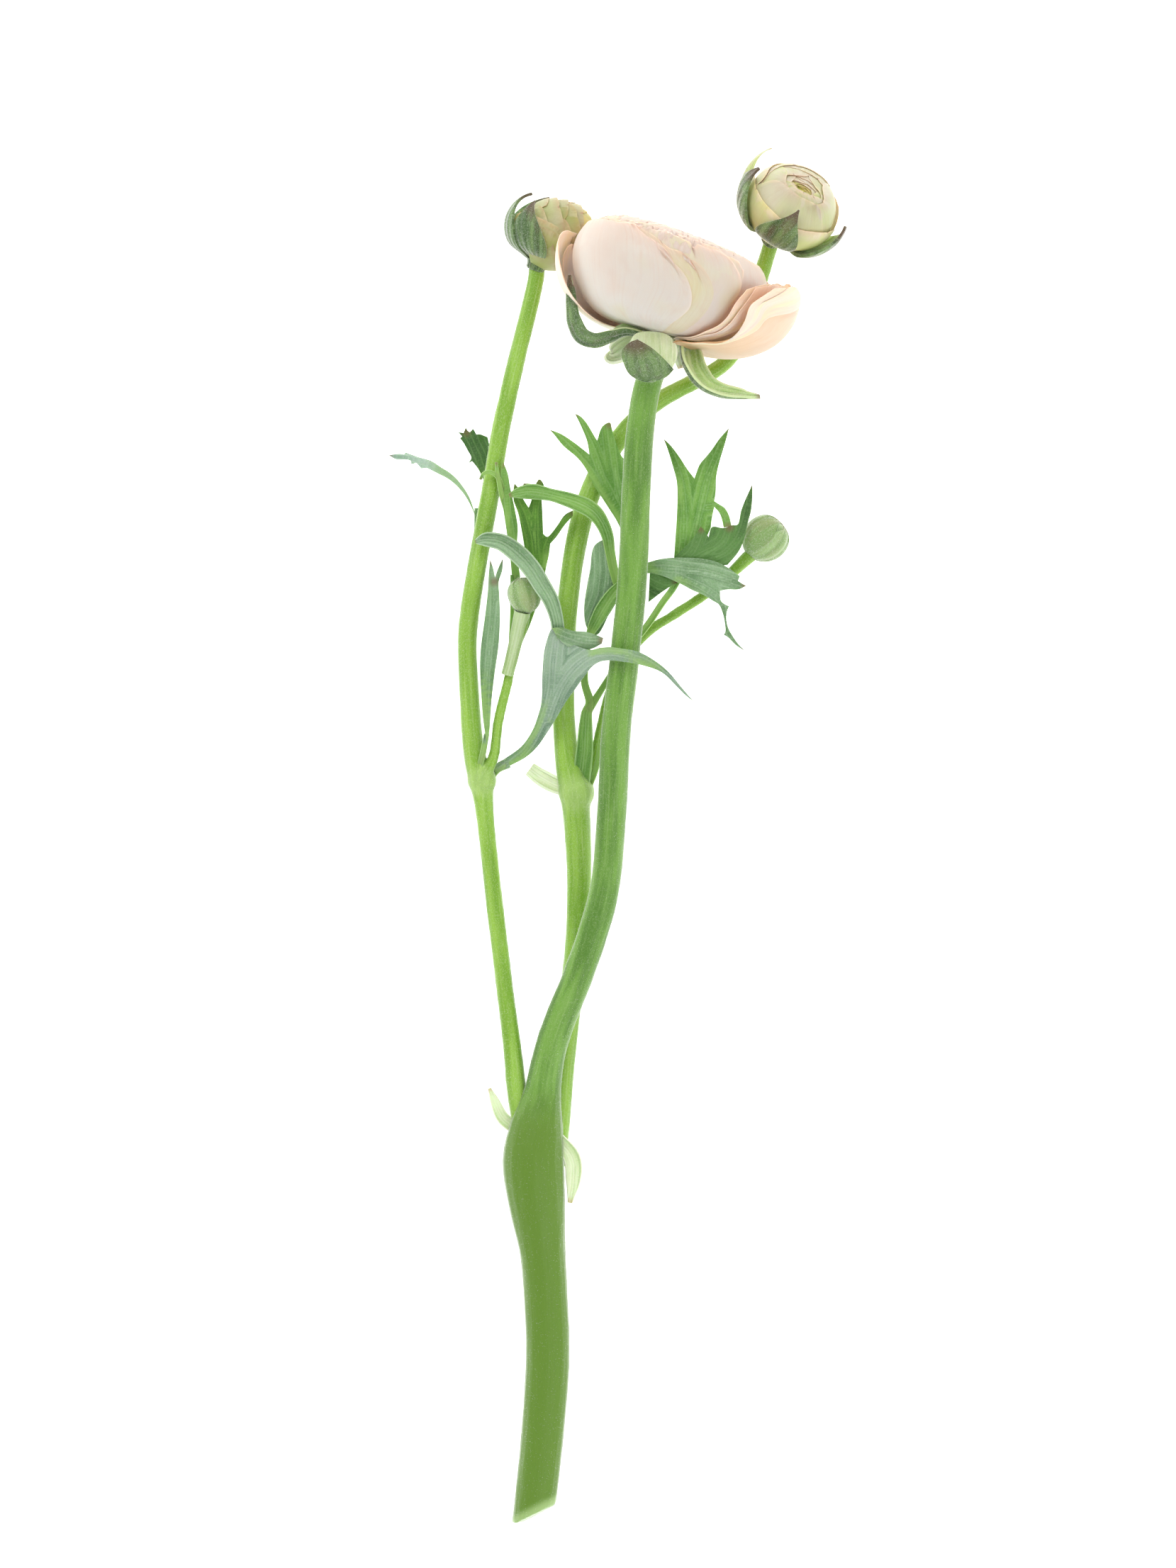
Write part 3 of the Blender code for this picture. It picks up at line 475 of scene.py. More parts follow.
# Leaves: the dark and the light green, the veins, the tip and the stalk.
SILVER_LEAF = leaf_tissue("leaf_silvered", "#5E8054", "#86A47C", "#B3C7AA", "#7E5E4E")
DARK_LEAF = leaf_tissue("leaf_shaded", "#345A22", "#517A38", "#7A9C62", "#6E5638")
GREY_LEAF = leaf_tissue("leaf_downy", "#5C7A60", "#8BA289", "#B9C6B8", "#7E5E62")
BRIGHT_LEAF = leaf_tissue("leaf_bright", "#3F6C14", "#5E8F26", "#86AE4E", "#6E6A38")
FRESH_LEAF = leaf_tissue("leaf_fresh", "#56862F", "#7AA54A", "#9FBF82", "#7E6A48")
# Sepal backs: the dark and the light green, and the flush.
SEPAL_BACK = sepal_tissue("sepal_back", "#3E5A2C", "#6F8C52", "#5B4438")
SMALL_BUD_SEPAL = sepal_tissue("small_bud_sepal", "#7A9A58", "#9CB87C", "#93986A", 0.12)
# Pale, leafy skins, coloured as a leaf is.
SEPAL_FACE = leaf_tissue("sepal_face", "#8DAE5C", "#B0CA84", "#D6E4B8", "#6B4A3C", "#B0CA84")
PALE_SHEATH = leaf_tissue("sheath", "#BFCF9A", "#DCE5C2", "#EEF2DE", "#C9B08A", "#DCE5C2")
STALK_SKIN = leaf_tissue("stalk_sheath_skin", "#94B06C", "#B2C894", "#D0DCBC", "#B7A582", "#9CB878")
SILVER_TOP = leaf_tissue("leaf_silver_topped", "#86A08C", "#AEC0B2", "#D2DDD3", "#8E7470", "#8FAE74")
RECEPTACLE = leaf_tissue("receptacle", "#A8B98A", "#C4D0A4", "#D6DEBC", "#A8B98A", "#B4C294")
# Hair: colourless, hollow cells, white where light strikes them.
HAIR = speckled("plant_hair", 400.0, 1.0, "#FBFBF6", "#DDE3D2", Roughness=0.4, IOR=1.45)

PEACH_SKINS = (PEACH, APRICOT, PEACH_RIM)
PALE_SKINS = (PEACH, PALE_FACE, PEACH_RIM)
LIT_SKINS = (LIT_PEACH, PALE_FACE, PEACH_RIM)
WARM_SKINS = (WARM_PEACH, APRICOT, PEACH_RIM)
CREAM_SKINS = (CREAM, CREAM_FACE, CREAM_RIM)
EYE_SKINS = (BUD_EYE, BUD_EYE, BUD_EYE)
GREENISH_SKINS = (GREENISH, CREAM_FACE, GREENISH_RIM)
SEPAL_SKINS = (SEPAL_BACK, SEPAL_FACE, SEPAL_BACK)
SILVERED, DOWNY = (SILVER_LEAF, DARK_LEAF), (GREY_LEAF, GREY_LEAF)
FRESH, SHADED, BRIGHT = (FRESH_LEAF, DARK_LEAF), (DARK_LEAF, FRESH_LEAF), (BRIGHT_LEAF, DARK_LEAF)


# ---- stems ----

SEAM = 0.001                 # points nearer than this are one
SKIN_GRAIN = 0.6             # of the fused skin's mesh
CUT_AT, CUT_NORMAL = (-22.2, -191, 6), (0.44, -0.9, 0.1)    # the slanting cut through the stem's foot


def curve_mesh(points, **settings):
    """A curve through these points, (x, y, z, radius), as a closed mesh."""
    data = bpy.data.curves.new("outline", "CURVE")
    for name, value in settings.items():
        setattr(data, name, value)
    spline = data.splines.new("POLY")
    spline.use_cyclic_u = data.dimensions == "2D"
    spline.points.add(len(points) - 1)
    for target, (x, y, z, radius) in zip(spline.points, points):
        target.co = (x * MM, y * MM, z * MM, 1)
        target.radius = radius
    curve = bpy.data.objects.new("outline", data)
    bpy.context.scene.collection.objects.link(curve)
    only(curve)
    bpy.ops.object.convert(target="MESH")
    obj = bpy.context.view_layer.objects.active
    edit(obj, lambda: bpy.ops.mesh.remove_doubles(threshold=SEAM * MM))
    return obj


def tube(route):
    """A round stem of changing radius, as a closed mesh."""
    return curve_mesh(smooth_route(route, 4), dimensions="3D", bevel_depth=MM, bevel_resolution=6,
                      use_fill_caps=True)


def swelling(centre, along, wide, long):
    """An egg-shaped swelling of a stem, at a node or under a head."""
    turn = Vector((0, 0, 1)).rotation_difference(Vector(along)).to_euler()
    bpy.ops.mesh.primitive_uv_sphere_add(segments=24, ring_count=16, radius=1, location=mm(*centre),
                                         rotation=turn, scale=(wide * MM, wide * MM, long * MM))
    bpy.ops.object.transform_apply(location=True, rotation=True, scale=True)
    return bpy.context.object


def straighten(obj, routes, place):
    """Each vertex's coordinates on the nearest stem as if it were straight, and its place value."""
    stations = []
    for route in routes:
        points = smooth_route(route, 8)
        along = 0.0
        for before, after in zip(points, points[1:]):
            ahead = (after - before).to_3d()
            side = ahead.cross(Vector((0, 0, 1))).normalized()
            stations.append((before.to_3d(), side, side.cross(ahead).normalized(), ahead.normalized(), along))
            along += ahead.length
    tree = KDTree(len(stations))
    for i, station in enumerate(stations):
        tree.insert(station[0], i)
    tree.balance()
    grains, places = [], []
    for vert in obj.data.vertices:
        at = vert.co / MM
        start, side, out, ahead, along = stations[tree.find(at)[1]]
        grains.append(((at - start).dot(side), (at - start).dot(out), along + (at - start).dot(ahead)))
        places.append(place(at))
    return grains, places


def fused_stem(name, solids, routes, skin, place):
    """Tubes and swellings fused in one skin, with a slightly uneven surface."""
    obj = join(name, solids)
    obj.data.materials.clear()
    apply(obj, "REMESH", mode="VOXEL", voxel_size=SKIN_GRAIN * MM)
    apply(obj, "SMOOTH", factor=0.5, iterations=6)
    outward = [vert.normal.copy() for vert in obj.data.vertices]
    for vert, normal in zip(obj.data.vertices, outward):
        at = vert.co / MM
        swell = 0.16 * wander(at.x * 0.3, at.y * 0.07, at.z * 0.3)
        grit = 0.05 * wander(at.x * 1.2, at.y * 0.3, at.z * 1.2)
        vert.co += normal * MM * (swell + grit)
    dress(obj, (skin,), *straighten(obj, routes, place))
    only(obj)
    bpy.ops.object.shade_smooth()
    return obj


def build_main_stem():
    stem = tube(MAIN_STEM)
    edit(stem, lambda: bpy.ops.mesh.bisect(plane_co=mm(*CUT_AT), plane_no=CUT_NORMAL, use_fill=True,
                                           clear_outer=True))
    under_flower = swelling((12.2, 139.5, 36.8), FLOWER["up"], 5.4, 4.5)

    def place(at):
        base = step(-66, -84, at.y)
        cut = step(3.2, 0.6, (Vector(CUT_AT) - at).dot(Vector(CUT_NORMAL)))
        return base, 0.75 * cut, 0.0

    return piece(fused_stem("flower_stem", [stem, under_flower], (MAIN_STEM,), STEM_GREEN, place),
                 "stem_green", "main_stem")


def build_branch(name, routes, node, cad_nodes):
    """A side stem and its bud's stalk, which forks off at a swollen node that is paler round its middle."""
    centre, along, wide, long, paleness, reach = node
    solids = [tube(route) for route in routes] + [swelling(centre, along, wide, long)]
    obj = fused_stem(name, solids, routes, BRANCH_GREEN,
                     lambda at: (0.0, paleness * step(reach, 0, (at - Vector(centre)).length), 0.0))
    return piece(obj, "branch_green", *cad_nodes)


# ---- heads: petals and sepals in shells round a common centre ----

FLATTENING = 0.62            # the height that an inner layer loses, per width that it loses
NOTCH_WIDTH = 0.035          # in a petal's rim, as a share of its half width
NOTCH_DEPTH = 1.7            # in degrees
WIDEST = 0.72                # how far up its height a petal is widest


def head_axes(head):
    up = Vector(head["up"]).normalized()
    front = (Vector((0, 0, 1)) - up * up.z).normalized()
    return up.cross(front), front, up


def shell_point(head, layer, angle, azimuth):
    """A place in a head, in metres. Inner layers keep more of their height than of their width."""
    right, front, up = head_axes(head)
    sway = min(1, max(0, (angle - 40) / 50))
    body = smooth_value(head["body"], angle) * (1 - head["lean"] * sway * math.cos(math.radians(azimuth)))
    if layer <= 1:
        reach, height = layer * body, (1 - FLATTENING * (1 - layer)) * body
    else:
        reach = height = body + (layer - 1) * (smooth_value(head["outer"], angle) - body)
    turn, round_ = math.radians(angle), math.radians(azimuth)
    squeeze = 1 - head.get("slit", 0) * step(118, 160, angle)
    outward = right * math.cos(round_) + front * math.sin(round_) * squeeze
    centre = Vector(head["base"]) + up * head["centre"]
    return (centre + outward * math.sin(turn) * reach - up * math.cos(turn) * height) * MM


def grid(name, across, along):
    bpy.ops.mesh.primitive_grid_add(x_subdivisions=across, y_subdivisions=along, size=2)
    obj = bpy.context.object
    obj.name = name
    return obj


def ball(name, segments=24, rings=16):
    """A sphere whose faces are put in a set order, because the operator's own changes from run to run."""
    bpy.ops.mesh.primitive_uv_sphere_add(segments=segments, ring_count=rings, radius=1)
    obj = bpy.context.object
    obj.name = name
    count = len(obj.data.vertices)
    mesh = bmesh.new()
    mesh.from_mesh(obj.data)
    mesh.faces.sort(key=lambda face: sum(index * count ** i for i, index in enumerate(
        sorted(vert.index for vert in face.verts))))
    mesh.to_mesh(obj.data)
    mesh.free()
    return obj


def finish_shell(obj, skins, grains, places, thick):
    """Gives a petal or sepal its skins, for its back, its face and its rim, and its thickness inwards."""
    obj.data.flip_normals()
    dress(obj, skins, grains, places)
    apply(obj, "SOLIDIFY", thickness=thick * MM, offset=-1, material_offset=1, material_offset_rim=2)
    smooth(obj)
    return obj


def petal(name, head, at, half, layer, rim, skins, seed, across=26, along=26, start=36, foot=0.75,
          corner=0.30, ragged=1.0, crumple=0.008, wave=0.012, flare=0.0, twist=0.0, thick=0.2, size=26,
          left=None, right=None):
    """One petal. at and half give its middle and half width round the head, in degrees.

    It goes from the start angle to its rim's, or a table of them from its right side, -1, to its left, 1.
    foot is its width there, as a share. corner rounds the rim off, ragged roughens it, crumple creases it,
    wave ripples the blade, flare turns the rim out, and twist brings its left edge out over the next petal.
    left and right are tables of (angle, azimuth) for an edge that doesn't follow the usual outline. size is
    the head's radius.
    """
    obj = grid(name, across, along)
    grains, places = [], []
    rims = rim if isinstance(rim, tuple) else ((-1, rim), (1, rim))
    tall = max(row[1] for row in rims)
    length = math.radians(tall - start) * size
    notch = random.Random(seed).uniform(-0.6, 0.6)
    for vert in obj.data.vertices:
        side, rise = vert.co.x, (vert.co.y + 1) / 2
        at_notch = math.exp(-((side - notch) / NOTCH_WIDTH) ** 2)
        corners = corner * (tall - start) * (1 - (1 - 0.985 * abs(side) ** 3) ** 0.5)
        corners = 0 if (left if side > 0 else right) else corners
        rough = ragged * (1.1 * wander(side * 3, seed * 3.7) + 0.6 * wander(side * 11, seed * 1.3, 5))
        top = smooth_value(rims, side) - corners + rough - ragged * NOTCH_DEPTH * at_notch
        spread = foot + (1 - foot) * math.sin(min(1, rise / WIDEST) * math.pi / 2)
        shift = wave * wander(side * 1.7 + seed, rise * 2.2, seed * 0.77) * step(0.1, 0.5, rise)
        shift += crumple * ragged * wander(side * 10, seed * 2.1, rise * 6) * step(0.75, 1.0, rise)
        shift += flare * step(0.78, 1.0, rise) ** 2 + twist * side * step(0.0, 0.4, rise)
        first, last = at - half * spread, at + half * spread
        if right:
            first = smooth_value(right, start + (rims[0][1] - start) * rise)
        if left:
            last = smooth_value(left, start + (rims[-1][1] - start) * rise) + (360 if at > 180 else 0)
        azimuth = first + (last - first) * (side + 1) / 2
        vert.co = shell_point(head, layer + shift, start + (top - start) * rise, azimuth)
        grains.append((side * math.radians(half) * size, seed * 7.0, rise * length))
        places.append((side, rise, at_notch * ragged))
    return finish_shell(obj, skins, grains, places, thick)


def sepal(name, head, at, half, layer, rim, seed, across=14, along=30, start=30, skins=SEPAL_SKINS, keel=0.05,
          lift=0.0, veer=0.0, thick=0.8, ribs=3, size=13):
    """A pointed, boat-shaped sepal in a head's shells, ribbed along its back.

    It goes from the start angle to its rim's. lift bows its tip outwards, and veer leads its tip round.
    """
    obj = grid(name, across, along)
    grains, places = [], []
    for vert in obj.data.vertices:
        side, rise = vert.co.x, (vert.co.y + 1) / 2
        width = 0.62 + 0.38 * math.sin(min(1, rise / 0.45) * math.pi / 2)
        width *= 1 - step(0.4, 1.06, rise) ** 1.3
        bulge = keel * (1 - side * side) * math.sin(math.pi * min(1, rise * 1.1))
        bulge += 0.010 * math.cos(side * math.pi * ribs) * math.sin(math.pi * rise)
        bulge += 0.02 * wander(side * 1.5 + seed, rise * 3) + lift * rise ** 2
        angle = start + (rim - start) * rise
        vert.co = shell_point(head, layer + bulge, angle, at + half * width * side + veer * rise ** 1.5)
        grains.append((side * math.radians(half) * width * size, seed * 5.0, rise * 1.6 * size))
        places.append((side, rise, 0.0))
    return finish_shell(obj, skins, grains, places, thick)


def receptacle(name, head, profile, skin):
    """The knob that a head's petals grow from: a ball's rings drawn to a turned outline (radius, height)."""
    obj = ball(name)
    right, front, up = head_axes(head)
    radii = [(i / (len(profile) - 1), row[0]) for i, row in enumerate(profile)]
    heights = [(i / (len(profile) - 1), row[1]) for i, row in enumerate(profile)]
    grains, places = [], []
    for vert in obj.data.vertices:
        share = math.acos(max(-1, min(1, vert.co.z))) / math.pi
        turn = math.atan2(vert.co.y, vert.co.x)
        radius = max(0, smooth_value(radii, share)) if 0 < share < 1 else 0
        height = smooth_value(heights, share)
        at = Vector(head["base"]) + up * height
        vert.co = (at + (right * math.cos(turn) + front * math.sin(turn)) * radius) * MM
        grains.append((turn * 6, radius, height))
        places.append((0.5, share * 0.5, 0.0))
    obj.data.flip_normals()
    dress(obj, (skin,), grains, places)
    smooth(obj)
    return obj


def heart(name, head, layer, skin, place, lobes=0.0, **mesh):
    """What lies deepest in a bud, furled tight. Its tip may have three lobes."""
    obj = ball(name, **mesh)
    for vert in obj.data.vertices:
        angle = math.degrees(math.acos(max(-1, min(1, -vert.co.z))))
        azimuth = math.degrees(math.atan2(vert.co.y, vert.co.x))
        dent = lobes * step(150, 172, angle) * (1 + math.cos(math.radians(azimuth * 3)))
        vert.co = shell_point(head, layer * (1 - dent), angle, azimuth)
    obj.data.flip_normals()
    dress(obj, (skin,), [vert.co / MM for vert in obj.data.vertices], [place] * len(obj.data.vertices))
    smooth(obj)
    return obj


# ---- the open flower ----

GOLDEN_ANGLE = 137.5         # from each petal to the next one in

# The flower's firm outer petals: (middle, half width, layer, rim, right edge), and the CAD petal that each
# stands for. A rim is one angle, or (side, angle). An edge is (angle, azimuth).
BODY_PETALS = (
    (142, 60, 1.000, ((-1, 106.5), (-0.9, 108), (-0.85, 113), (-0.7, 115), (-0.54, 119), (-0.46, 121),
                      (-0.25, 119), (0.11, 119), (0.57, 117), (1, 110)),
     ((36, 96), (64.6, 87.6), (82, 78.5), (90, 79.5), (98.7, 85.3), (103.4, 91.8), (106.5, 99.4)), 1),
    (114, 49, 0.988, ((-1, 109.4), (-0.86, 108.2), (-0.82, 111.6), (-0.62, 112.6), (-0.47, 114.5),
                      (-0.3, 117), (0, 119), (0.5, 121), (1, 117)),
     ((36, 80), (69, 70), (85, 65.9), (95, 66.7), (101.5, 71.5), (107, 78.8), (109.4, 84.8)), 2),
    (98, 46, 0.976, ((-1, 116), (-0.76, 120.7), (-0.54, 119.8), (-0.36, 119.5), (-0.33, 116), (-0.28, 119.5),
                     (0.4, 121), (1, 120)),
     ((36, 60), (79, 51.2), (90.7, 50.9), (100.6, 48.7), (108.7, 50.7), (116, 57.4)), 3),
    (32, 58, 0.960, ((-1, 124), (-0.4, 126), (0, 125), (0.45, 126.5), (0.7, 124), (1, 118)), None, 4),
    (310, 54, 0.995, 120, None, 5), (232, 54, 0.980, 120, None, 6),
)
# Crumpled petals whose rims show in front, above the firm ones: (middle, half width, layer, rim).
RUFFLED_PETALS = (
    (150, 40, 0.978, 121), (118, 36, 0.970, 121), (84, 36, 0.966, 122), (136, 40, 0.958, 125),
    (104, 38, 0.953, 124), (66, 38, 0.950, 126), (154, 40, 0.944, 128), (92, 40, 0.940, 128),
    (122, 40, 0.932, 131), (44, 42, 0.930, 130), (166, 44, 0.924, 131), (100, 42, 0.916, 135),
    (72, 42, 0.910, 135), (140, 44, 0.904, 137),
)
# Loose petals round them, from the innermost out: (middle, half width, layer, rim, ragged, left edge, right
# edge), with the CAD petal. An edge is (angle, azimuth).
OUTER_PETALS = (
    (18, 46, 1.30, ((-1, 108), (0.2, 109), (1, 102)), 0.3,
     ((36, 70), (69, 61), (77, 56), (84, 54), (94, 53.5), (102, 50)),
     ((36, 66), (59, 56), (65, 51), (72.6, 46), (83, 40), (91, 37), (98, 20), (108, 5)), 1),
    (14, 47, 1.42, ((-1, 108), (0.2, 109), (1, 103.5)), 0.3,
     ((36, 66), (66, 60), (71, 54), (79, 51), (90, 50), (103.5, 46)),
     ((36, 62), (59, 54), (65, 50), (72.6, 45), (83, 39), (91, 36), (98, 17), (108, 2)), 2),
    (10, 50, 1.85, ((-1, 102.5), (-0.5, 107), (0, 108.5), (0.6, 106), (1, 104)), 0.3,
     ((36, 72), (62, 60), (67, 51), (74, 47), (85, 49), (93, 51), (99, 46), (104, 40)),
     ((36, 74), (59, 58), (65, 48), (72.6, 42.8), (83.2, 37), (91, 35), (98, 14.5), (102.5, 0)), 3),
    (340, 44, 1.66, ((-1, 112), (0, 113), (1, 109)), 1.8, None, None, 4),
    (340, 50, 1.93, ((-1, 112), (0, 110), (0.6, 106), (1, 104)), 0.5,
     ((36, 74), (59, 56), (65, 49), (72.6, 44), (83, 38.5), (91, 37), (98, 18), (104, 3)), None, 5),
    (285, 48, 1.96, 108, 1.0, None, None, 6),
    (204, 40, 1.93, ((-1, 94), (-0.8, 102), (-0.4, 108), (0.2, 110), (1, 110)), 0.4, None, None, 7),
)
LEFT_INSIDE_PETAL = (226, 40, 1.62, 108)      # the loose petal within the leftmost one
INNER_PETALS = 58
FLOWER_RECEPTACLE = (
    (0, 7.5), (3, 6), (5.6, 3.2), (7.2, 1.2), (7.4, 0.2), (6.6, -0.8), (5.2, -1.8), (4.2, -3.5), (0, -3.6),
)


def build_flower():
    for at, half, layer, rim, right, number in BODY_PETALS:
        skins = WARM_SKINS if number == 2 else PEACH_SKINS
        obj = petal(f"firm_petal_{number}", FLOWER, at, half, layer, rim, skins, number,
                    across=64, along=40, corner=0.2, ragged=0.6, thick=0.18, right=right)
        piece(obj, "peach_petal", f"flower_body_petal_{number}")
    for at, half, layer, rim, ragged, left, right, number in OUTER_PETALS:
        skins = LIT_SKINS if number == 5 else PALE_SKINS if number == 7 else PEACH_SKINS
        twist = -0.12 if number == 5 else 0.0
        obj = petal(f"loose_petal_{number}", FLOWER, at, half, layer, rim, skins, 20 + number,
                    across=48, along=34, foot=0.6, wave=0.04, flare=0.02, ragged=ragged, corner=0.1,
                    left=left, right=right, twist=twist, thick=0.25)
        piece(obj, "peach_petal", f"flower_outer_petal_{number}")
    at, half, layer, rim = LEFT_INSIDE_PETAL
    piece(petal("loose_petal_8", FLOWER, at, half, layer, rim, PALE_SKINS, 31, across=34, along=30,
                foot=0.6, wave=0.04), "peach_petal")
    petals = []
    for i, (at, half, layer, rim) in enumerate(RUFFLED_PETALS):
        petals.append(petal(f"ruffled_petal_{i}", FLOWER, at, half, layer, rim, PEACH_SKINS, 40 + i,
                            across=50, start=66, ragged=2.4, thick=0.16, corner=0.16, crumple=0.012))
    for i in range(INNER_PETALS):
        depth = i / (INNER_PETALS - 1)
        layer = 0.945 - 0.84 * depth ** 0.85
        petals.append(petal(f"inner_petal_{i}", FLOWER, 40 + i * GOLDEN_ANGLE, 62 - 10 * depth, layer,
                            122 + 38 * depth ** 0.6, PEACH_SKINS, 60 + i, across=20, along=16, start=50,
                            wave=0.015, twist=0.008, ragged=0.8))
    piece(join("inner_petals", petals), "peach_petal", "flower_inner_petals")
    knob = receptacle("petal_seat", FLOWER, FLOWER_RECEPTACLE, RECEPTACLE)
    piece(knob, "stem_green", "flower_receptacle")


# ---- the two half-open buds ----

# Under each opening the petals turn about an axis of their own, nearer to the way that the bud opens.
RIGHT_BUD_EYE = (0.30, 0.52, 0.80)
LEFT_BUD_EYE = (0.95, 0.22, 0.0)
LEFT_EYE_BODY = ((0, 9), (60, 10), (90, 10.6), (120, 12.2), (150, 15), (180, 17.5))
BUD_RECEPTACLE = ((0, 4), (2.5, 3.4), (3.4, 2), (3.4, 1), (3.0, 0.2), (2.7, -0.6), (2.3, -1.8), (0, -2))

# Outer petals, round the bud's own axis: (middle, half width, layer, rim), with the CAD petal.
RIGHT_BUD_PETALS = (
    (52, 58, 1.0, ((-1, 104), (0, 100), (1, 94)), 1), (128, 56, 1.012, ((-1, 100), (0, 102), (1, 108)), 2),
    (290, 70, 0.98, 120, 3), (215, 60, 0.965, 124, 4),
)
LEFT_BUD_PETALS = (
    (75, 52, 1.0, 96, 1), (110, 50, 0.97, 106, 2), (280, 70, 0.98, 104, 3), (30, 55, 0.95, 118, 4),
)
# The ones inside, round the eye's axis: how many, the first one's place, the layers and rims from the
# outermost to the innermost, how much further the rims reach on the side that faces away from the stem, and
# how far the opening is squeezed to a slit.
RIGHT_BUD_INSIDE = {
    "count": 26, "first": 95, "layers": (0.985, 0.72), "rims": (118, 172), "reach": 34, "slit": 0.5,
}
LEFT_BUD_INSIDE = {"count": 18, "first": 75, "layers": (0.99, 0.66), "rims": (92, 168), "reach": 0, "slit": 0}
# Sepals: (middle, half width, layer, angle of the foot, angle of the tip, how far the tip bows out, veer).
RIGHT_BUD_SEPALS = {
    "left": (160, 34, 1.5, 16, 118, 0.15, 0), "back": (205, 9, 1.85, 16, 122, 0.15, 0),
    "front": (88, 31, 1.22, 10, 119, 0.0, -8), "right": (4, 36, 1.5, 18, 108, 0.15, 0),
    "under": (285, 34, 1.33, 16, 104, 0.0, 0),
}
NARROW_SEPAL = 10            # a sepal narrower than this is thin and pale
LEFT_BUD_SEPALS = {
    "front": (104, 34, 1.30, 2, 124, 0.0, 32), "left": (170, 34, 1.50, 2, 134, 0.0, 8),
    "back": (232, 32, 1.42, 2, 144, 0.1, 0), "under": (292, 34, 1.40, 2, 136, 0.0, 0),
    "right": (345, 26, 1.40, 2, 84, 0.3, 0),
}


def build_bud(side, head, eye, eye_body, outer, inside, sepals, outer_skins, seed):
    """One half-open bud: outer petals, the ones packed inside them, sepals and the knob under them."""
    for at, half, layer, rim, number in outer:
        obj = petal(f"{side}_bud_outer_{number}", head, at, half, layer, rim, outer_skins, seed + number,
                    across=36, along=24, corner=0.16, size=12, wave=0.02, ragged=0.8, thick=0.16)
        piece(obj, "cream_petal", f"{side}_bud_petal_{number}")
    centre = Vector(head["base"]) + Vector(head["up"]).normalized() * head["centre"]
    base = centre - Vector(eye).normalized() * head["centre"]
    turned = dict(head, up=eye, base=base, lean=0, body=eye_body, slit=inside["slit"])
    (first_layer, last_layer), (first_rim, last_rim) = inside["layers"], inside["rims"]
    petals = [heart(f"{side}_bud_eye", turned, last_layer * 0.96, BUD_EYE, (0.3, 0.3, 0.0), lobes=0.05,
                    segments=32, rings=20)]
    for i in range(inside["count"]):
        depth = i / (inside["count"] - 1)
        at = inside["first"] + i * GOLDEN_ANGLE
        layer = first_layer + (last_layer - first_layer) * depth
        rim = first_rim + (last_rim - first_rim) * depth ** 0.7
        rim += inside["reach"] * (0.5 + 0.5 * math.sin(math.radians(at))) * (1 - depth)
        skins = EYE_SKINS if depth > 0.7 else outer_skins
        petals.append(petal(f"{side}_bud_inner_{i}", turned, at, 70, layer, min(rim, 174), skins,
                            seed + 10 + i, across=22, along=18, start=44, size=12, twist=0.006, thick=0.12,
                            corner=0.14))
    piece(join(f"{side}_bud_heart", petals), "cream_petal", f"{side}_bud_inner_petals")
    for name, (at, half, layer, foot, tip, lift, veer) in sepals.items():
        finish = {"thick": 0.4, "skins": (PALE_SHEATH,) * 3} if half < NARROW_SEPAL else {}
        obj = sepal(f"{side}_bud_calyx_{name}", head, at, half, layer, tip, seed + len(name), lift=lift,
                    start=foot, veer=veer, **finish)
        piece(obj, "hairy_sepal", f"{side}_bud_sepal_{name}")
    knob = receptacle(f"{side}_bud_seat", head, BUD_RECEPTACLE, SEPAL_BACK)
    piece(knob, "branch_green", f"{side}_bud_receptacle")


# ---- closed small buds ----

# (centre, the way that the tip points, half width, half length)
LEFT_SMALL_BUD = ((-26.5, 69.5, 21), (-0.25, 0.95, 0.1), 4.7, 5.6)
RIGHT_SMALL_BUD = ((42, 85.5, 12.2), (0.75, 0.66, 0.05), 6.6, 7.2)


def build_small_bud(side, centre, tip, half_width, half_length, seed):
    """A closed bud: five overlapping ribbed sepals round a firm core."""
    up = Vector(tip).normalized()
    outline = []
    for angle in range(0, 181, 15):
        turn = math.radians(angle)
        reach = 1 / math.hypot(math.sin(turn) / half_width, math.cos(turn) / half_length)
        outline.append((angle, reach * (1 - 0.14 * step(120, 180, angle))))
    head = {"base": Vector(centre) - up * half_length, "up": up, "centre": half_length, "lean": 0.0,
            "body": tuple(outline), "outer": tuple((angle, reach + 2) for angle, reach in outline)}
    parts = [heart(f"{side}_small_core", head, 0.9, SMALL_BUD_SEPAL, (0.5, 0.3, 0.0))]
    for i in range(5):
        parts.append(sepal(f"{side}_small_sepal_{i}", head, 72 * i + seed, 50, 0.96 + 0.02 * (i % 2), 176,
                           seed + i, across=12, along=24, start=4, keel=0.06, thick=0.4, ribs=2,
                           size=half_width, skins=(SMALL_BUD_SEPAL,) * 3))
    return piece(join(f"{side}_closed_bud", parts), "hairy_sepal", f"{side}_small_bud")


# ---- leaves ----

TIP_WIDTH = 1.3              # a blade that ends narrower than this ends in a tip
TIP_REACH = 30.0             # how far from its tip a blade's colour knows of it
STALK_END = 12.0             # where a blade's pattern starts, past that of its stalk
PLEAT = 2.6                  # from furrow to furrow of a cut blade
CELL = 0.6                   # of a cut blade's sheet
CUT_DEPTH = 5                # of its cutter, above and below
RIB_GROOVE, RIB_WIDTH = 0.18, 0.5            # how deep and how wide a rib's furrow is
WAVE = 0.25                  # how far a strap's edges waver


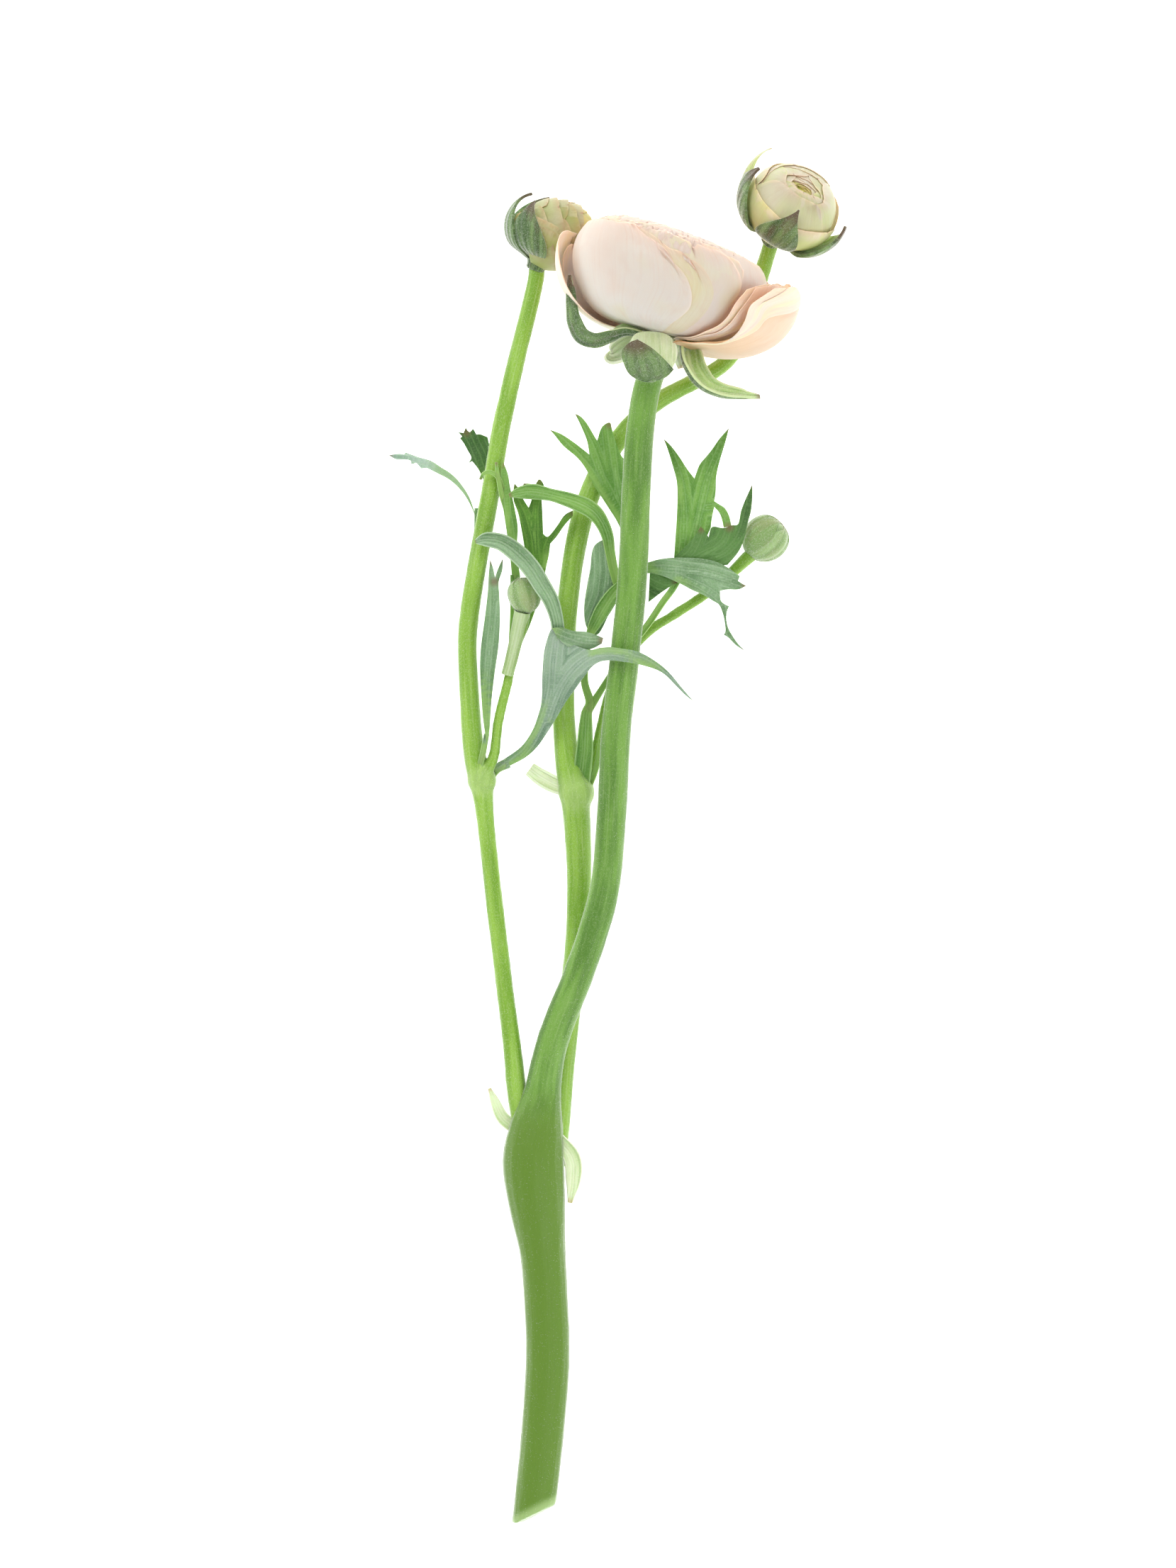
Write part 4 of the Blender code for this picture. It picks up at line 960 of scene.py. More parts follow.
def blade(name, route, skins, face=(0, 0, 1), across=10, steps=6, thick=0.4, roll=70, seed=0, ridge=0.14):
    """A leaf's lobe, stalk or sepal, along its midrib.

    Each row of the route is (x, y, z, width), and may go on with how far the blade is turned about its
    midrib and how far its section is rolled up, in degrees. face is the way that its upper side looks.
    """
    rows = [tuple(row) + (0.0, float(roll))[len(row) - 4:] for row in route]
    stations = smooth_route(rows, steps)
    frames = []
    for i in range(len(stations)):
        ahead = stations[min(len(stations) - 1, i + 1)] - stations[max(0, i - 1)]
        ahead = Vector(ahead[:3]).normalized()
        out = Vector(face)
        frames.append((ahead, (out - ahead * ahead.dot(out)).normalized()))
    pointed = route[-1][3] < TIP_WIDTH
    obj = grid(name, across, len(stations) - 1)
    length = sum((b - a).to_3d().length for a, b in zip(stations, stations[1:]))
    grains, places = [], []
    for vert in obj.data.vertices:
        side, share = vert.co.x, (vert.co.y + 1) / 2
        i = round(share * (len(stations) - 1))
        x, y, z, width, turned, rolled = stations[i]
        ahead, out = frames[i]
        across_way = ahead.cross(out)
        turn = math.radians(turned)
        out, across_way = (out * math.cos(turn) - across_way * math.sin(turn),
                           across_way * math.cos(turn) + out * math.sin(turn))
        half = max(width, 0.25) / 2
        bend = math.radians(max(rolled, 5)) / 2
        radius = half / bend
        over, up = radius * math.sin(side * bend), radius * (1 - math.cos(side * bend))
        if width > 3:
            up += ridge * math.cos(side * math.pi * 4) * min(1, half / 3)
            up += WAVE * wander(share * length * 0.12, seed, 3) * side * min(1.5, half / 3)
            over += WAVE * 0.5 * wander(share * length * 0.25 + 9, seed + side * 3) * abs(side)
        vert.co = (Vector((x, y, z)) + across_way * over + out * up) * MM
        grains.append((side * half, seed * 9.0, share * length + (STALK_END if seed else 0)))
        rise = 1 - (1 - share) * length / TIP_REACH if pointed else 0.5
        places.append((side, max(0, rise), step(3.4, 2.4, width) if share < 0.8 else 0.0))
    dress(obj, skins, grains, places)
    apply(obj, "SOLIDIFY", thickness=thick * MM, offset=0, material_offset=1, material_offset_rim=0)
    smooth(obj, 60)
    return obj


def outline_ring(outline):
    """An outline's points, curved between its sharp corners."""
    strokes = []
    for point in outline + outline[:1]:
        here = (point[0], point[1], 0)
        if strokes:
            strokes[-1].append(here)
        if len(point) == 3:
            strokes.append([here])
    return [at for stroke in strokes[:-1] for at in smooth_route(stroke, 4)[:-1]]


def cut_sheet(name, ring, thick):
    """A flat sheet with an even mesh, cut to a ring of points."""
    cutter = curve_mesh([(at.x, at.y, 0, 1) for at in ring], dimensions="2D", fill_mode="BOTH",
                        extrude=CUT_DEPTH * MM)
    edit(cutter, lambda: bpy.ops.mesh.normals_make_consistent(inside=False))
    low = Vector((min(at.x for at in ring), min(at.y for at in ring), 0)) - Vector((1, 1, 0))
    high = Vector((max(at.x for at in ring), max(at.y for at in ring), 0)) + Vector((1, 1, 0))
    size = high - low
    obj = grid(name, round(size.x / CELL), round(size.y / CELL))
    for vert in obj.data.vertices:
        vert.co = (low + Vector((size.x * (vert.co.x + 1) / 2, size.y * (vert.co.y + 1) / 2, 0))) * MM
    apply(obj, "SOLIDIFY", thickness=thick * MM, offset=0)
    apply(obj, "BOOLEAN", operation="INTERSECT", solver="EXACT", object=cutter)
    bpy.data.objects.remove(cutter)
    return obj


def tree_of(points):
    """Finds which of these points, taken as seen from above, lies nearest to a place."""
    tree = KDTree(len(points))
    for i, at in enumerate(points):
        tree.insert((at.x, at.y, 0), i)
    tree.balance()
    return tree


def cut_blade(name, outline, ribs, skins, seed=0, thick=0.4, fold=0.0, wave=0.5, pleat=0.16):
    """A lobed blade: a sheet cut to its outline as seen from above, and bent to the heights of its ribs.

    outline goes round it, as (x, y), or (x, y, 1) at a sharp corner, where it starts. Each rib is a route of
    (x, y, z). fold lowers the blade away from its ribs, pleat furrows it along them, and wave ripples it.
    """
    ring = outline_ring(outline)
    obj = cut_sheet(name, ring, thick)
    stations, ways, anchors, rib_trees = [], [], [], []
    foot = Vector((ribs[0][0][0], ribs[0][0][1], 0))
    for rib in ribs:
        points = smooth_route(rib, 24)
        anchors += points[::4]
        stations += points
        rib_trees.append(tree_of(points))
        along = (Vector((points[0].x, points[0].y, 0)) - foot).length
        for before, after in zip(points, points[1:] + [2 * points[-1] - points[-2]]):
            ahead = Vector((after.x - before.x, after.y - before.y, 0))
            ways.append((ahead.normalized(), along))
            along += ahead.length
    rib_tree, edge_tree = tree_of(stations), tree_of(ring)
    ends = [Vector((rib[-1][0], rib[-1][1], 0)) for rib in ribs]
    tips = [end for end in ends if edge_tree.find(end)[2] < TIP_WIDTH]
    grains, places = [], []
    for vert in obj.data.vertices:
        flat = Vector((vert.co.x, vert.co.y, 0)) / MM
        weights = [1 / ((at.x - flat.x) ** 2 + (at.y - flat.y) ** 2 + 1) ** 2 for at in anchors]
        level = sum(w * at.z for w, at in zip(weights, anchors)) / sum(weights)
        nearest, from_rib = rib_tree.find(flat)[1:]
        from_edge = edge_tree.find(flat)[2]
        level += -fold * from_rib - RIB_GROOVE * math.exp(-(from_rib / RIB_WIDTH) ** 2)
        others = sorted(tree.find(flat)[2] for tree in rib_trees) + [from_rib + 9]
        clear = step(0, 1.5, others[1] - others[0])
        level += pleat * math.cos(from_rib * math.tau / PLEAT) * min(1, from_edge) * clear
        level += wave * wander(flat.x * 0.11, flat.y * 0.11, seed)
        level += 0.45 * wave * wander(flat.x * 0.34, flat.y * 0.34, seed + 5)
        vert.co.z += level * MM
        start = Vector((stations[nearest].x, stations[nearest].y, 0))
        way, along = ways[nearest]
        grains.append((from_rib, seed * 9.0, STALK_END + along + (flat - start).dot(way)))
        to_tip = min([(flat - tip).length for tip in tips] + [TIP_REACH])
        narrow = step(2.4, 1.4, from_rib + from_edge) * step(10, 16, to_tip)
        places.append((from_rib / (from_rib + from_edge + 0.1), 1 - to_tip / TIP_REACH, 0.8 * narrow))
    obj.data.materials.clear()
    dress(obj, skins, grains, places)
    for face in obj.data.polygons:
        face.material_index = 0 if face.normal.z > -0.5 else 1
    smooth(obj, 60)
    return obj


def build_leaf(name, node, slot, straps=(), blades=(), skins=(), **shape):
    """One leaf in one piece: straps along midribs, and cut blades, each as (outline, ribs, options)."""
    made = [blade(f"{name}_strap_{i}", strap, skins, seed=i, **shape) for i, strap in enumerate(straps)]
    for i, (outline, ribs, options) in enumerate(blades):
        made.append(cut_blade(f"{name}_blade_{i}", outline, ribs, seed=20 + i, **{"skins": skins, **options}))
    return piece(join(name, made), slot, node)


# A strap is a route as blade() takes it; a blade is an outline and its ribs, as cut_blade() takes them.
HOOKED_LEAF_STRAPS = (
    ((-37, 16.5, 9, 2.6), (-34.5, 20, 10, 2.6), (-31, 21.8, 11.5, 3)),
    ((-17.4, 53, 23.5, 4), (-17, 57, 25.4, 4), (-17.2, 61.5, 28, 3.6), (-18.8, 67.2, 29, 4.4),
     (-21.6, 72, 28.4, 5), (-24.7, 76.9, 27, 5.3), (-28.5, 81, 25, 5.3), (-32.7, 84, 23.2, 4.8),
     (-36.8, 84.9, 21.8, 4), (-39.2, 84.6, 20.8, 2.4), (-40.3, 84.4, 20.4, 0.9)),
    ((-34, 84, 21.4, 2), (-36, 85.8, 21, 1.6), (-37, 86.7, 21, 0.6)),
)
HOOKED_LEAF_BLADE = (
    (-35.4, 21, 1), (-31.8, 23.2), (-27.4, 26.4), (-24.4, 30.6), (-22.6, 35.2), (-21.6, 39.6),
    (-21.4, 46.6), (-20.8, 53.6), (-19.2, 59), (-17.8, 60, 1), (-16.4, 59.2), (-15.4, 57),
    (-14.2, 55.8, 1), (-11.4, 54.6), (-8, 53.6), (-5.2, 54.2, 1), (-2.4, 54.4), (0, 54.1), (5.2, 53.2),
    (9.6, 51), (14, 47.6), (18.6, 42.2), (21.4, 39, 1), (18.8, 41), (16.8, 43), (12.4, 47.2),
    (7, 49.2), (1.8, 50.2), (-3.6, 50.6), (-7, 49.2), (-9.8, 45.8), (-12.4, 42.2), (-15, 38.6),
    (-17.6, 34.2), (-20.4, 29.8), (-23, 26.2), (-26.4, 23.2), (-31.8, 20.4), (-34.4, 19),
)
HOOKED_LEAF_RIBS = (
    ((-36, 18.5, 10), (-30, 22, 11.8), (-26, 25.5, 14.5), (-22.5, 31, 18), (-20.5, 36, 21), (-19, 42, 23.5),
     (-18.4, 50, 26), (-17.5, 57, 28)),
    ((-20, 34, 20), (-17, 42, 23.5), (-13, 48, 28), (-8, 51.8, 32), (-2.5, 52.8, 34.6), (4, 51.6, 36),
     (11, 48.2, 35), (16.5, 43.4, 32.5), (21.4, 39, 30)),
)
HOOKED_LEAF_ROLL = (
    (-18.6, 59.8, 1), (-16, 60), (-12.6, 59), (-8.4, 58.6), (-4.2, 57, 1), (-4.6, 55.4, 1), (-7.4, 54),
    (-11.4, 53.6), (-14, 54.4), (-17, 57),
)
TOOTHED_BACK = (
    (-37.6, 100.6, 1), (-39.2, 104.4), (-40.4, 106.2), (-41.4, 107.4, 1), (-42.4, 106.8, 1),
    (-41.6, 108.4), (-42.6, 110.4), (-43.8, 112.6, 1), (-44.8, 113.9, 1), (-44.2, 114.4, 1),
    (-45.3, 115.6, 1), (-43.8, 115.4, 1), (-43.2, 116.9, 1), (-42.6, 116), (-42, 115.6, 1),
    (-41.1, 116.6, 1), (-40.6, 115.8), (-40.2, 115, 1), (-39, 115), (-37, 114.2, 1), (-36, 109),
    (-36.4, 103.4),
)
TOOTHED_SILVER = (
    (-40.2, 91, 1), (-41.6, 94.4), (-43.4, 97.6), (-45.6, 100.2), (-48, 102.2), (-51, 103.8),
    (-54.2, 105.4, 1), (-55.8, 105.2, 1), (-56.4, 106), (-57.2, 106.8, 1), (-58.6, 106.4, 1),
    (-58.8, 107.4), (-60.4, 107.8), (-62.8, 107.8), (-65, 109, 1), (-62.2, 109.4), (-60.6, 109.2, 1),
    (-60.2, 109.8, 1), (-59.2, 109.4), (-56.4, 108.4), (-53, 107.4), (-50.2, 105.6), (-47.4, 103.8),
    (-44.8, 101.2), (-42.2, 97.2), (-40.6, 92.6),
)
TOOTHED_LEAF_STALK = (
    ((-38.5, 18.5, 7.5, 2), (-43.5, 37, 7, 1.8), (-43, 57, 8, 1.8), (-41.5, 73, 8, 1.8),
     (-40, 85, 8.5, 2), (-39.4, 94, 9, 2.6)),
)
STRAP_LEAF_STALK = (((-39.5, 19.5, 12, 1.8), (-38.4, 24, 14, 1.7), (-37.2, 30, 14.8, 1.4)),)
STRAP_LEAF = (
    (-37.2, 27, 1), (-38.2, 34.2), (-38.6, 39.6), (-39, 46.6), (-39, 51.8), (-38.6, 56.2),
    (-37.6, 63.4), (-36.8, 70.6), (-36.6, 75), (-36.2, 79.3, 1), (-35.4, 77), (-34.8, 74.2, 1),
    (-34, 76.6), (-32.6, 79.7, 1), (-32.8, 76.2), (-33.8, 73), (-33.6, 69), (-33.4, 63.4),
    (-33.6, 57.6), (-34, 53.2), (-34.8, 48), (-35.8, 39.6), (-36.4, 31),
)
STRAP_LEAF_RIBS = (
    ((-36.8, 28, 15.6), (-37.4, 40, 16.6), (-36.6, 52, 18), (-35.4, 64, 18.2), (-35, 73, 17.6)),
    ((-35, 68, 18), (-36.2, 79, 17.2)), ((-34.6, 68, 18), (-32.6, 79.6, 17)),
)
LEFT_BRACT = (
    (-30, 74, 1), (-30.6, 80.6), (-31.8, 89.2), (-32.6, 94.4), (-33.4, 99.4), (-33.2, 103.6),
    (-32.5, 106.9, 1), (-31.2, 103.6), (-30.6, 100), (-29.4, 94.4), (-28.4, 88.6), (-28.6, 83.6),
    (-28.2, 77.8), (-27.8, 74),
)
LEFT_BRACT_STRAPS = (
    ((-30.2, 54.5, 16.5, 1.6), (-29.5, 65, 14.2, 2), (-29.2, 75, 14.4, 2.6)),
    ((-31.8, 94, 16.8, 1.4), (-33, 98, 18.2, 1.4), (-34, 103, 19.4, 1.1), (-34.5, 106.8, 20, 0.6)),
    ((-32, 97, 17, 1.4), (-33.6, 102, 19, 1.3), (-36, 104, 19.6, 1.1), (-38, 103.6, 19.4, 0.9),
     (-39, 102, 18.8, 0.6)),
)
RIGHT_BRACT = (
    (-21, 73.4, 1), (-20.4, 77), (-19.6, 80.6), (-19.2, 83.8, 1), (-17.4, 85.8), (-15, 89.2),
    (-12.8, 91.6, 1), (-12.8, 93.2, 1), (-15.2, 91.8), (-17.4, 88.6), (-19.8, 85.8), (-21.2, 86.6, 1),
    (-21.4, 92.2), (-21.6, 96.4), (-21.4, 98.6), (-21, 100.4), (-22.3, 102), (-23.6, 99.8),
    (-24.6, 95.8), (-25.3, 94, 1), (-26.8, 96.4), (-27.8, 99), (-29.3, 100.8, 1), (-29.6, 99),
    (-29.6, 96.4), (-29.2, 95), (-28.2, 92.2), (-27.2, 87.2), (-26, 80.6), (-23.8, 74.6),
)
RIGHT_BRACT_RIBS = (
    ((-22.4, 74, 15), (-23, 80, 16.8), (-24, 87, 18.2), (-25.5, 92, 18.8), (-29.3, 100.8, 19)),
    ((-23.4, 84, 17.6), (-23.4, 92, 18.6), (-22.4, 101.5, 18.8)),
    ((-21, 78, 16.4), (-19, 85.5, 18.8), (-12.8, 92.4, 20)),
)
RIGHT_BRACT_STALK = (
    ((-29.4, 53.2, 17, 1), (-26.2, 60, 15.4, 1.6), (-23.8, 68, 14.8, 2.4), (-22.4, 75, 15, 3.4)),
)
BRANCHING_LEAF_STRAPS = (
    ((-10.5, 16, 11, 5), (-9.5, 25, 14.5, 5), (-9, 35, 16.5, 3.2), (-8, 39, 17.5, 2.4),
     (-9.5, 45, 18.5, 2), (-9, 53, 19.5, 2), (-7.4, 60, 20.8, 2)),
    ((-8.4, 57.4, 21.4, 1.6), (-6.6, 61, 22.6, 3.4), (-4.2, 65.2, 23.4, 4.4), (-1.4, 69.4, 23.6, 3.8),
     (1.4, 73, 23.2, 2)),
    ((1.5, 66, 22, 2.4), (0.2, 71, 22.8, 2.4), (-1.2, 76, 23.4, 2.6), (-2.2, 81, 23.6, 2.8),
     (-3.2, 86.5, 23.6, 3.4), (-5.4, 91, 23.4, 4.2), (-8.4, 93.8, 23, 4.8), (-13, 95.8, 22.6, 4.4),
     (-18.5, 97.4, 22.2, 3.4), (-23.5, 98.4, 21.8, 4.4), (-27.5, 98.2, 21.4, 3.4), (-30.8, 97.4, 21, 1)),
    ((-22, 98.2, 20.6, 2), (-24.6, 99.6, 20.6, 2), (-26.8, 100.4, 20.8, 0.7)),
    ((-8.5, 36.5, 16.9, 2.4), (-5, 42, 18, 1.8), (-1.5, 47.5, 18.4, 1.6), (3.5, 54.5, 18.8, 1.6),
     (8.5, 61, 19, 1.8), (12.5, 67, 19.3, 1.8), (16, 72, 19.6, 2), (18.5, 79, 19.9, 3.5)),
)
BRANCHING_LEAF_BLADE = (
    (-2.8, 85, 1), (-4.8, 84.6), (-6.8, 83), (-7.6, 80), (-7.8, 77), (-8.8, 71.8), (-9.6, 65.8),
    (-9.2, 61), (-7.6, 58, 1), (-5.4, 58.4), (-2.8, 63.4), (-0.2, 70, 1), (-0.4, 75), (-1, 79),
)
HORNED_BLADE = (
    (15.8, 79, 1), (16.2, 85), (16.6, 90.8), (16.8, 96.8), (16.6, 101.4), (15.4, 106), (14, 110.6),
    (12.9, 113.4, 1), (15, 111.4), (17.4, 108.2), (19.6, 104.8), (21.6, 102.2, 1), (23, 106),
    (24.6, 108), (26.4, 110.2), (28.8, 113.6), (31.4, 116.5, 1), (30.2, 112), (28.8, 107.4),
    (27.8, 103), (27.6, 98.4), (27.2, 95.8, 1), (28.4, 95), (30.2, 93.8), (31.4, 91.6),
    (32.1, 88.8, 1), (29.9, 88.3, 1), (29.4, 90.6), (28.6, 92.6), (27.2, 94.2, 1), (26.6, 91.4),
    (26.2, 88.2, 1), (23.6, 83), (19.2, 79),
)
HORNED_RIBS = (
    ((17.6, 79, 19.6), (18.4, 86, 20), (18.6, 94, 20.6), (17.4, 102, 20.8), (15.6, 108, 20.6),
     (12.9, 113.4, 20)),
    ((20, 80, 19.6), (22, 88, 20.2), (23.6, 95, 20.8), (25.6, 103, 20.8), (28.4, 110, 20.4),
     (31.4, 116.5, 19.8)),
    ((25, 94, 20.4), (28, 94, 20.3), (30.6, 91.8, 19.6), (31.2, 88.6, 18.8)),
)
HORNED_UNDER = (
    (15.8, 79.8, 1), (20.6, 84.6), (23.4, 88.6, 1), (24.4, 87.4), (25.6, 85.6, 1), (26.2, 88),
    (27.2, 88.6), (29.8, 88.2), (32.2, 89, 1), (34, 89.4), (34.8, 93), (36, 96.2), (38, 100.6, 1),
    (38, 97), (37.6, 93), (36.8, 90), (35.6, 85), (34, 81.4), (31, 77.8, 1), (23.6, 77),
)
HORNED_UNDER_RIBS = (
    ((17.5, 78.6, 21), (21, 82, 21.8), (23.4, 88, 21.6)),
    ((18, 77.6, 21), (24, 80.5, 21.4), (29.5, 84, 20.6), (31.5, 88.4, 19.4)),
    ((24, 79, 21), (30, 81, 20.4), (34.5, 86, 19.4), (36.6, 93, 18.6), (38, 100.6, 18)),
)
FINGERED_LEAF_STRAPS = (
    ((-9.5, 12.5, 9.5, 2), (-6.3, 20, 12, 1.6), (-4.6, 29, 13.7, 1.6), (-3, 37, 14.6, 1.6),
     (-1, 47, 15.2, 1.6), (1, 57, 15.6, 1.8), (2.5, 67, 15.8, 2.2), (3, 75, 16, 3), (2.5, 86, 16.4, 3.5)),
    ((2, 64, 15.8, 2.2), (2.6, 70.5, 18, 3), (5.5, 75.4, 20, 2.4)),
)
FINGERED_BLADE = (
    (2.4, 84.4, 1), (-0.2, 90), (-2.2, 93.2), (-4.4, 96.6), (-7, 100.6), (-9, 104.8),
    (-11.6, 108.2), (-15.4, 111.4), (-18, 114.6), (-19.4, 116.1, 1), (-16, 114.8), (-12.4, 112.4),
    (-9.8, 110.4), (-8.1, 109, 1), (-8.8, 113), (-10.6, 117.4), (-12.2, 120.6, 1), (-10.6, 119.8),
    (-8.8, 117.8), (-6.8, 114.4), (-5.9, 113, 1), (-4.8, 116.4), (-3.4, 117.8), (-2.2, 118),
    (-1.8, 116.6), (-1, 113.8), (1, 108.6), (4, 105), (5.4, 97), (4.6, 88), (3.8, 84.4),
)
FINGERED_RIBS = (
    ((3, 85, 16.6), (0.8, 91, 17), (-5.5, 101, 17.8), (-11, 108, 18.2), (-19.4, 116, 17.6)),
    ((0.5, 93, 17.2), (-4.5, 103, 18), (-7.6, 111, 18.2), (-12.2, 120.5, 17.8)),
    ((2, 92, 17), (-0.5, 103, 17.8), (-2.4, 117.6, 17.8)),
)
OVER_BLADE = (
    (5, 77.4, 1), (9, 78.6), (12, 79.4), (16.6, 79.8), (22.6, 79.6), (27.2, 78.8), (31, 77), (33.2, 75.4),
    (34.4, 74.6, 1), (33.9, 73.2, 1), (34.8, 72.6), (36.2, 71.8, 1), (34, 70.8), (31, 70.8),
    (28.8, 70.4, 1), (29, 67.8), (30.2, 66.6), (31.4, 66.1, 1), (30.8, 64.6), (30.6, 62.6), (31, 60.4),
    (32.2, 58), (34, 55.4), (36, 53.4, 1), (33.4, 55), (31.2, 57.2), (29.9, 58, 1), (30.4, 59.4),
    (29.8, 63.4), (28.6, 66.4), (26.8, 67.6), (24.2, 69.2), (21, 70.6), (18.8, 71.8), (17.2, 72.6),
    (14.2, 74), (12, 74.8), (9, 75.4), (5, 75, 1),
)
OVER_RIBS = (
    ((6, 76.4, 21), (9, 77, 22), (17, 76.4, 23.4), (24, 75.6, 23.8), (30, 74, 23.6), (36, 71.9, 22.6)),
    ((17, 74.6, 22.6), (24, 71.4, 22.8), (28.6, 68, 22.4), (30.2, 63, 21.4), (30.8, 59, 20.4),
     (36, 53.6, 19)),
)
OVER_TUCK = ((9, 76, 1), (13, 75.2), (17.6, 73.2, 1), (15, 71.8), (12, 69.8), (8.6, 67.2, 1))
MID_NODE_STUB = (((-13, 14, 10, 4), (-17.5, 15.5, 10, 4.5), (-21.5, 17.5, 9.6, 4.5), (-25, 20, 9, 3.5)),)
STALK_SHEATH = (
    ((-31.4, 46.5, 19.8, 8.6), (-30.2, 51, 20.6, 9.2), (-29, 56, 21.5, 10), (-28, 60.5, 22.3, 11),
     (-27.2, 64, 23.2, 12.4)),
)
BASE_SHEATH_LEFT = (
    ((-27, -83, 9, 4), (-32.5, -79, 9, 3.6), (-35, -74, 9.4, 2.5), (-36.5, -70.5, 9.8, 0.8)),
)
BASE_SHEATH_RIGHT = (
    ((-18, -84, 10, 4), (-13.2, -90, 10, 5), (-12.6, -96, 9.5, 4.4), (-13.6, -103, 9.5, 1.2)),
)
# The flower's sepals: the way that the upper side looks, and the midrib's route, as blade() takes it.
FLOWER_SEPALS = {
    "left": ((0, 0, 1), (
        (9, 142, 40, 6, -60, 120), (2.5, 142.6, 42, 7.5, -75, 130), (-1.6, 140.8, 42.5, 8, -95, 130),
        (-6.5, 139.3, 42.5, 8, -112, 120), (-10.9, 141, 42, 7.5, -122, 110),
        (-13.2, 145.4, 41.5, 6.5, -125, 110), (-13.8, 150, 41, 5, -125, 110),
        (-13.9, 154.5, 40.5, 3.8, -120, 110), (-13.7, 159, 40, 1.2, -115, 90))),
    "right": ((0.5, 0.6, 0.6), (
        (18.0, 142, 38.5, 5), (19.2, 137.5, 41, 8), (20.2, 132.5, 43.5, 9.5), (23.2, 128, 44.8, 9),
        (28, 125.7, 44.6, 6.5), (34, 125, 43.4, 4), (39.8, 124.7, 41.6, 1.2))),
    "back_left": ((-0.3, 0.1, 0.9), (
        (9, 142, 36, 5), (4, 139.5, 35, 8), (0.8, 137.5, 34, 8), (-1.6, 136.4, 33, 5),
        (-2.6, 137.6, 32, 1.5))),
    "back_right": ((0.2, 0.2, 0.9), (
        (14.5, 142, 36, 4), (16.2, 138.6, 35.4, 4.5), (17.2, 135.6, 34.6, 3.6), (17.6, 133, 34, 1.2))),
}
# The front one, as outlines and ribs: the face that hangs down, and the back that folds up again over it.
FRONT_SEPAL_FACE = (
    (3.2, 140, 1), (5, 142.4), (9, 143), (13.6, 142.2), (16.2, 139.4), (16.6, 136), (15.2, 132.6, 1),
    (11, 130.6), (6, 132),
)
FRONT_SEPAL_FACE_RIBS = (((9.6, 142, 45.5), (9.8, 136, 47), (10, 131, 48)),)
FRONT_SEPAL_BACK = (
    (5.4, 140.6, 1), (3, 139.6), (1.0, 137.2), (1.6, 133.6), (3.6, 130.4), (8, 128.6), (13, 129.8),
    (15.6, 132.2, 1), (12.8, 135.2), (9.4, 138.2),
)
FRONT_SEPAL_BACK_RIBS = (
    ((7.6, 130.4, 49.6), (6.6, 134.4, 52.4), (5, 140.4, 51.4)),
    ((11, 131, 49), (10, 134.6, 51.4), (8, 136.6, 51.4)),
    ((4.2, 131.4, 49), (3.4, 135, 51.2), (4, 137.4, 51.2)),
)


def build_leaves():
    build_leaf("hooked_leaf", "left_leaf", "leaf_green", HOOKED_LEAF_STRAPS, (
        (HOOKED_LEAF_BLADE, HOOKED_LEAF_RIBS, {"wave": 1.0, "skins": DOWNY}),
        (HOOKED_LEAF_ROLL, (((-18, 59.4, 29.6), (-14, 57.6, 31), (-9, 56.4, 32.2), (-4.4, 56.2, 32)),),
         {"fold": 0.9, "thick": 0.7, "pleat": 0.3}),
    ), SILVERED, ridge=0.3)
    build_leaf("toothed_leaf", "left_back_leaf", "dark_leaf", TOOTHED_LEAF_STALK, (
        (TOOTHED_BACK, (((-37.6, 101, 8.6), (-39.6, 108, 8.2), (-43, 115.6, 7.4)),), {"skins": SHADED}),
        (TOOTHED_SILVER, (((-40.3, 92, 9.4), (-43, 98.4, 11), (-49.4, 104.2, 12.8), (-57, 107.6, 13),
                           (-65, 109, 12)),), {"fold": 0.7, "skins": (SILVER_TOP, DARK_LEAF)}),
    ), SILVERED)
    build_leaf("strap_leaf", "left_inner_leaf", "leaf_green", STRAP_LEAF_STALK,
               ((STRAP_LEAF, STRAP_LEAF_RIBS, {"fold": -0.7}),), SILVERED)
    build_leaf("left_bract", "left_bud_bract_left", "leaf_green", LEFT_BRACT_STRAPS, (
        (LEFT_BRACT, (((-29, 74, 14.6), (-29.6, 82, 16), (-31, 92, 17.8), (-32.5, 106.5, 18.4)),),
         {"fold": 0.3}),
    ), FRESH)
    build_leaf("right_bract", "left_bud_bract_right", "leaf_green", RIGHT_BRACT_STALK,
               ((RIGHT_BRACT, RIGHT_BRACT_RIBS, {"fold": 0.25}),), BRIGHT)
    build_leaf("branching_leaf", "middle_leaf", "leaf_green", BRANCHING_LEAF_STRAPS, (
        (BRANCHING_LEAF_BLADE, (((-8, 58, 20.5), (-4.5, 66, 21.8), (-2.8, 73, 22.6), (-3, 84, 23)),),
         {"fold": 0.35, "skins": SILVERED}),
        (HORNED_BLADE, HORNED_RIBS, {"fold": 0.15}),
        (HORNED_UNDER, HORNED_UNDER_RIBS, {"skins": SHADED}),
    ), FRESH)
    build_leaf("fingered_leaf", "back_leaf", "dark_leaf", FINGERED_LEAF_STRAPS, (
        (FINGERED_BLADE, FINGERED_RIBS, {"fold": 0.1}),
        (OVER_BLADE, OVER_RIBS, {"fold": 0.3, "skins": SILVERED}),
        (OVER_TUCK, (((9, 75, 21), (13, 73, 20.4), (16.6, 73, 20.6)),), {"skins": SHADED}),
    ), FRESH)


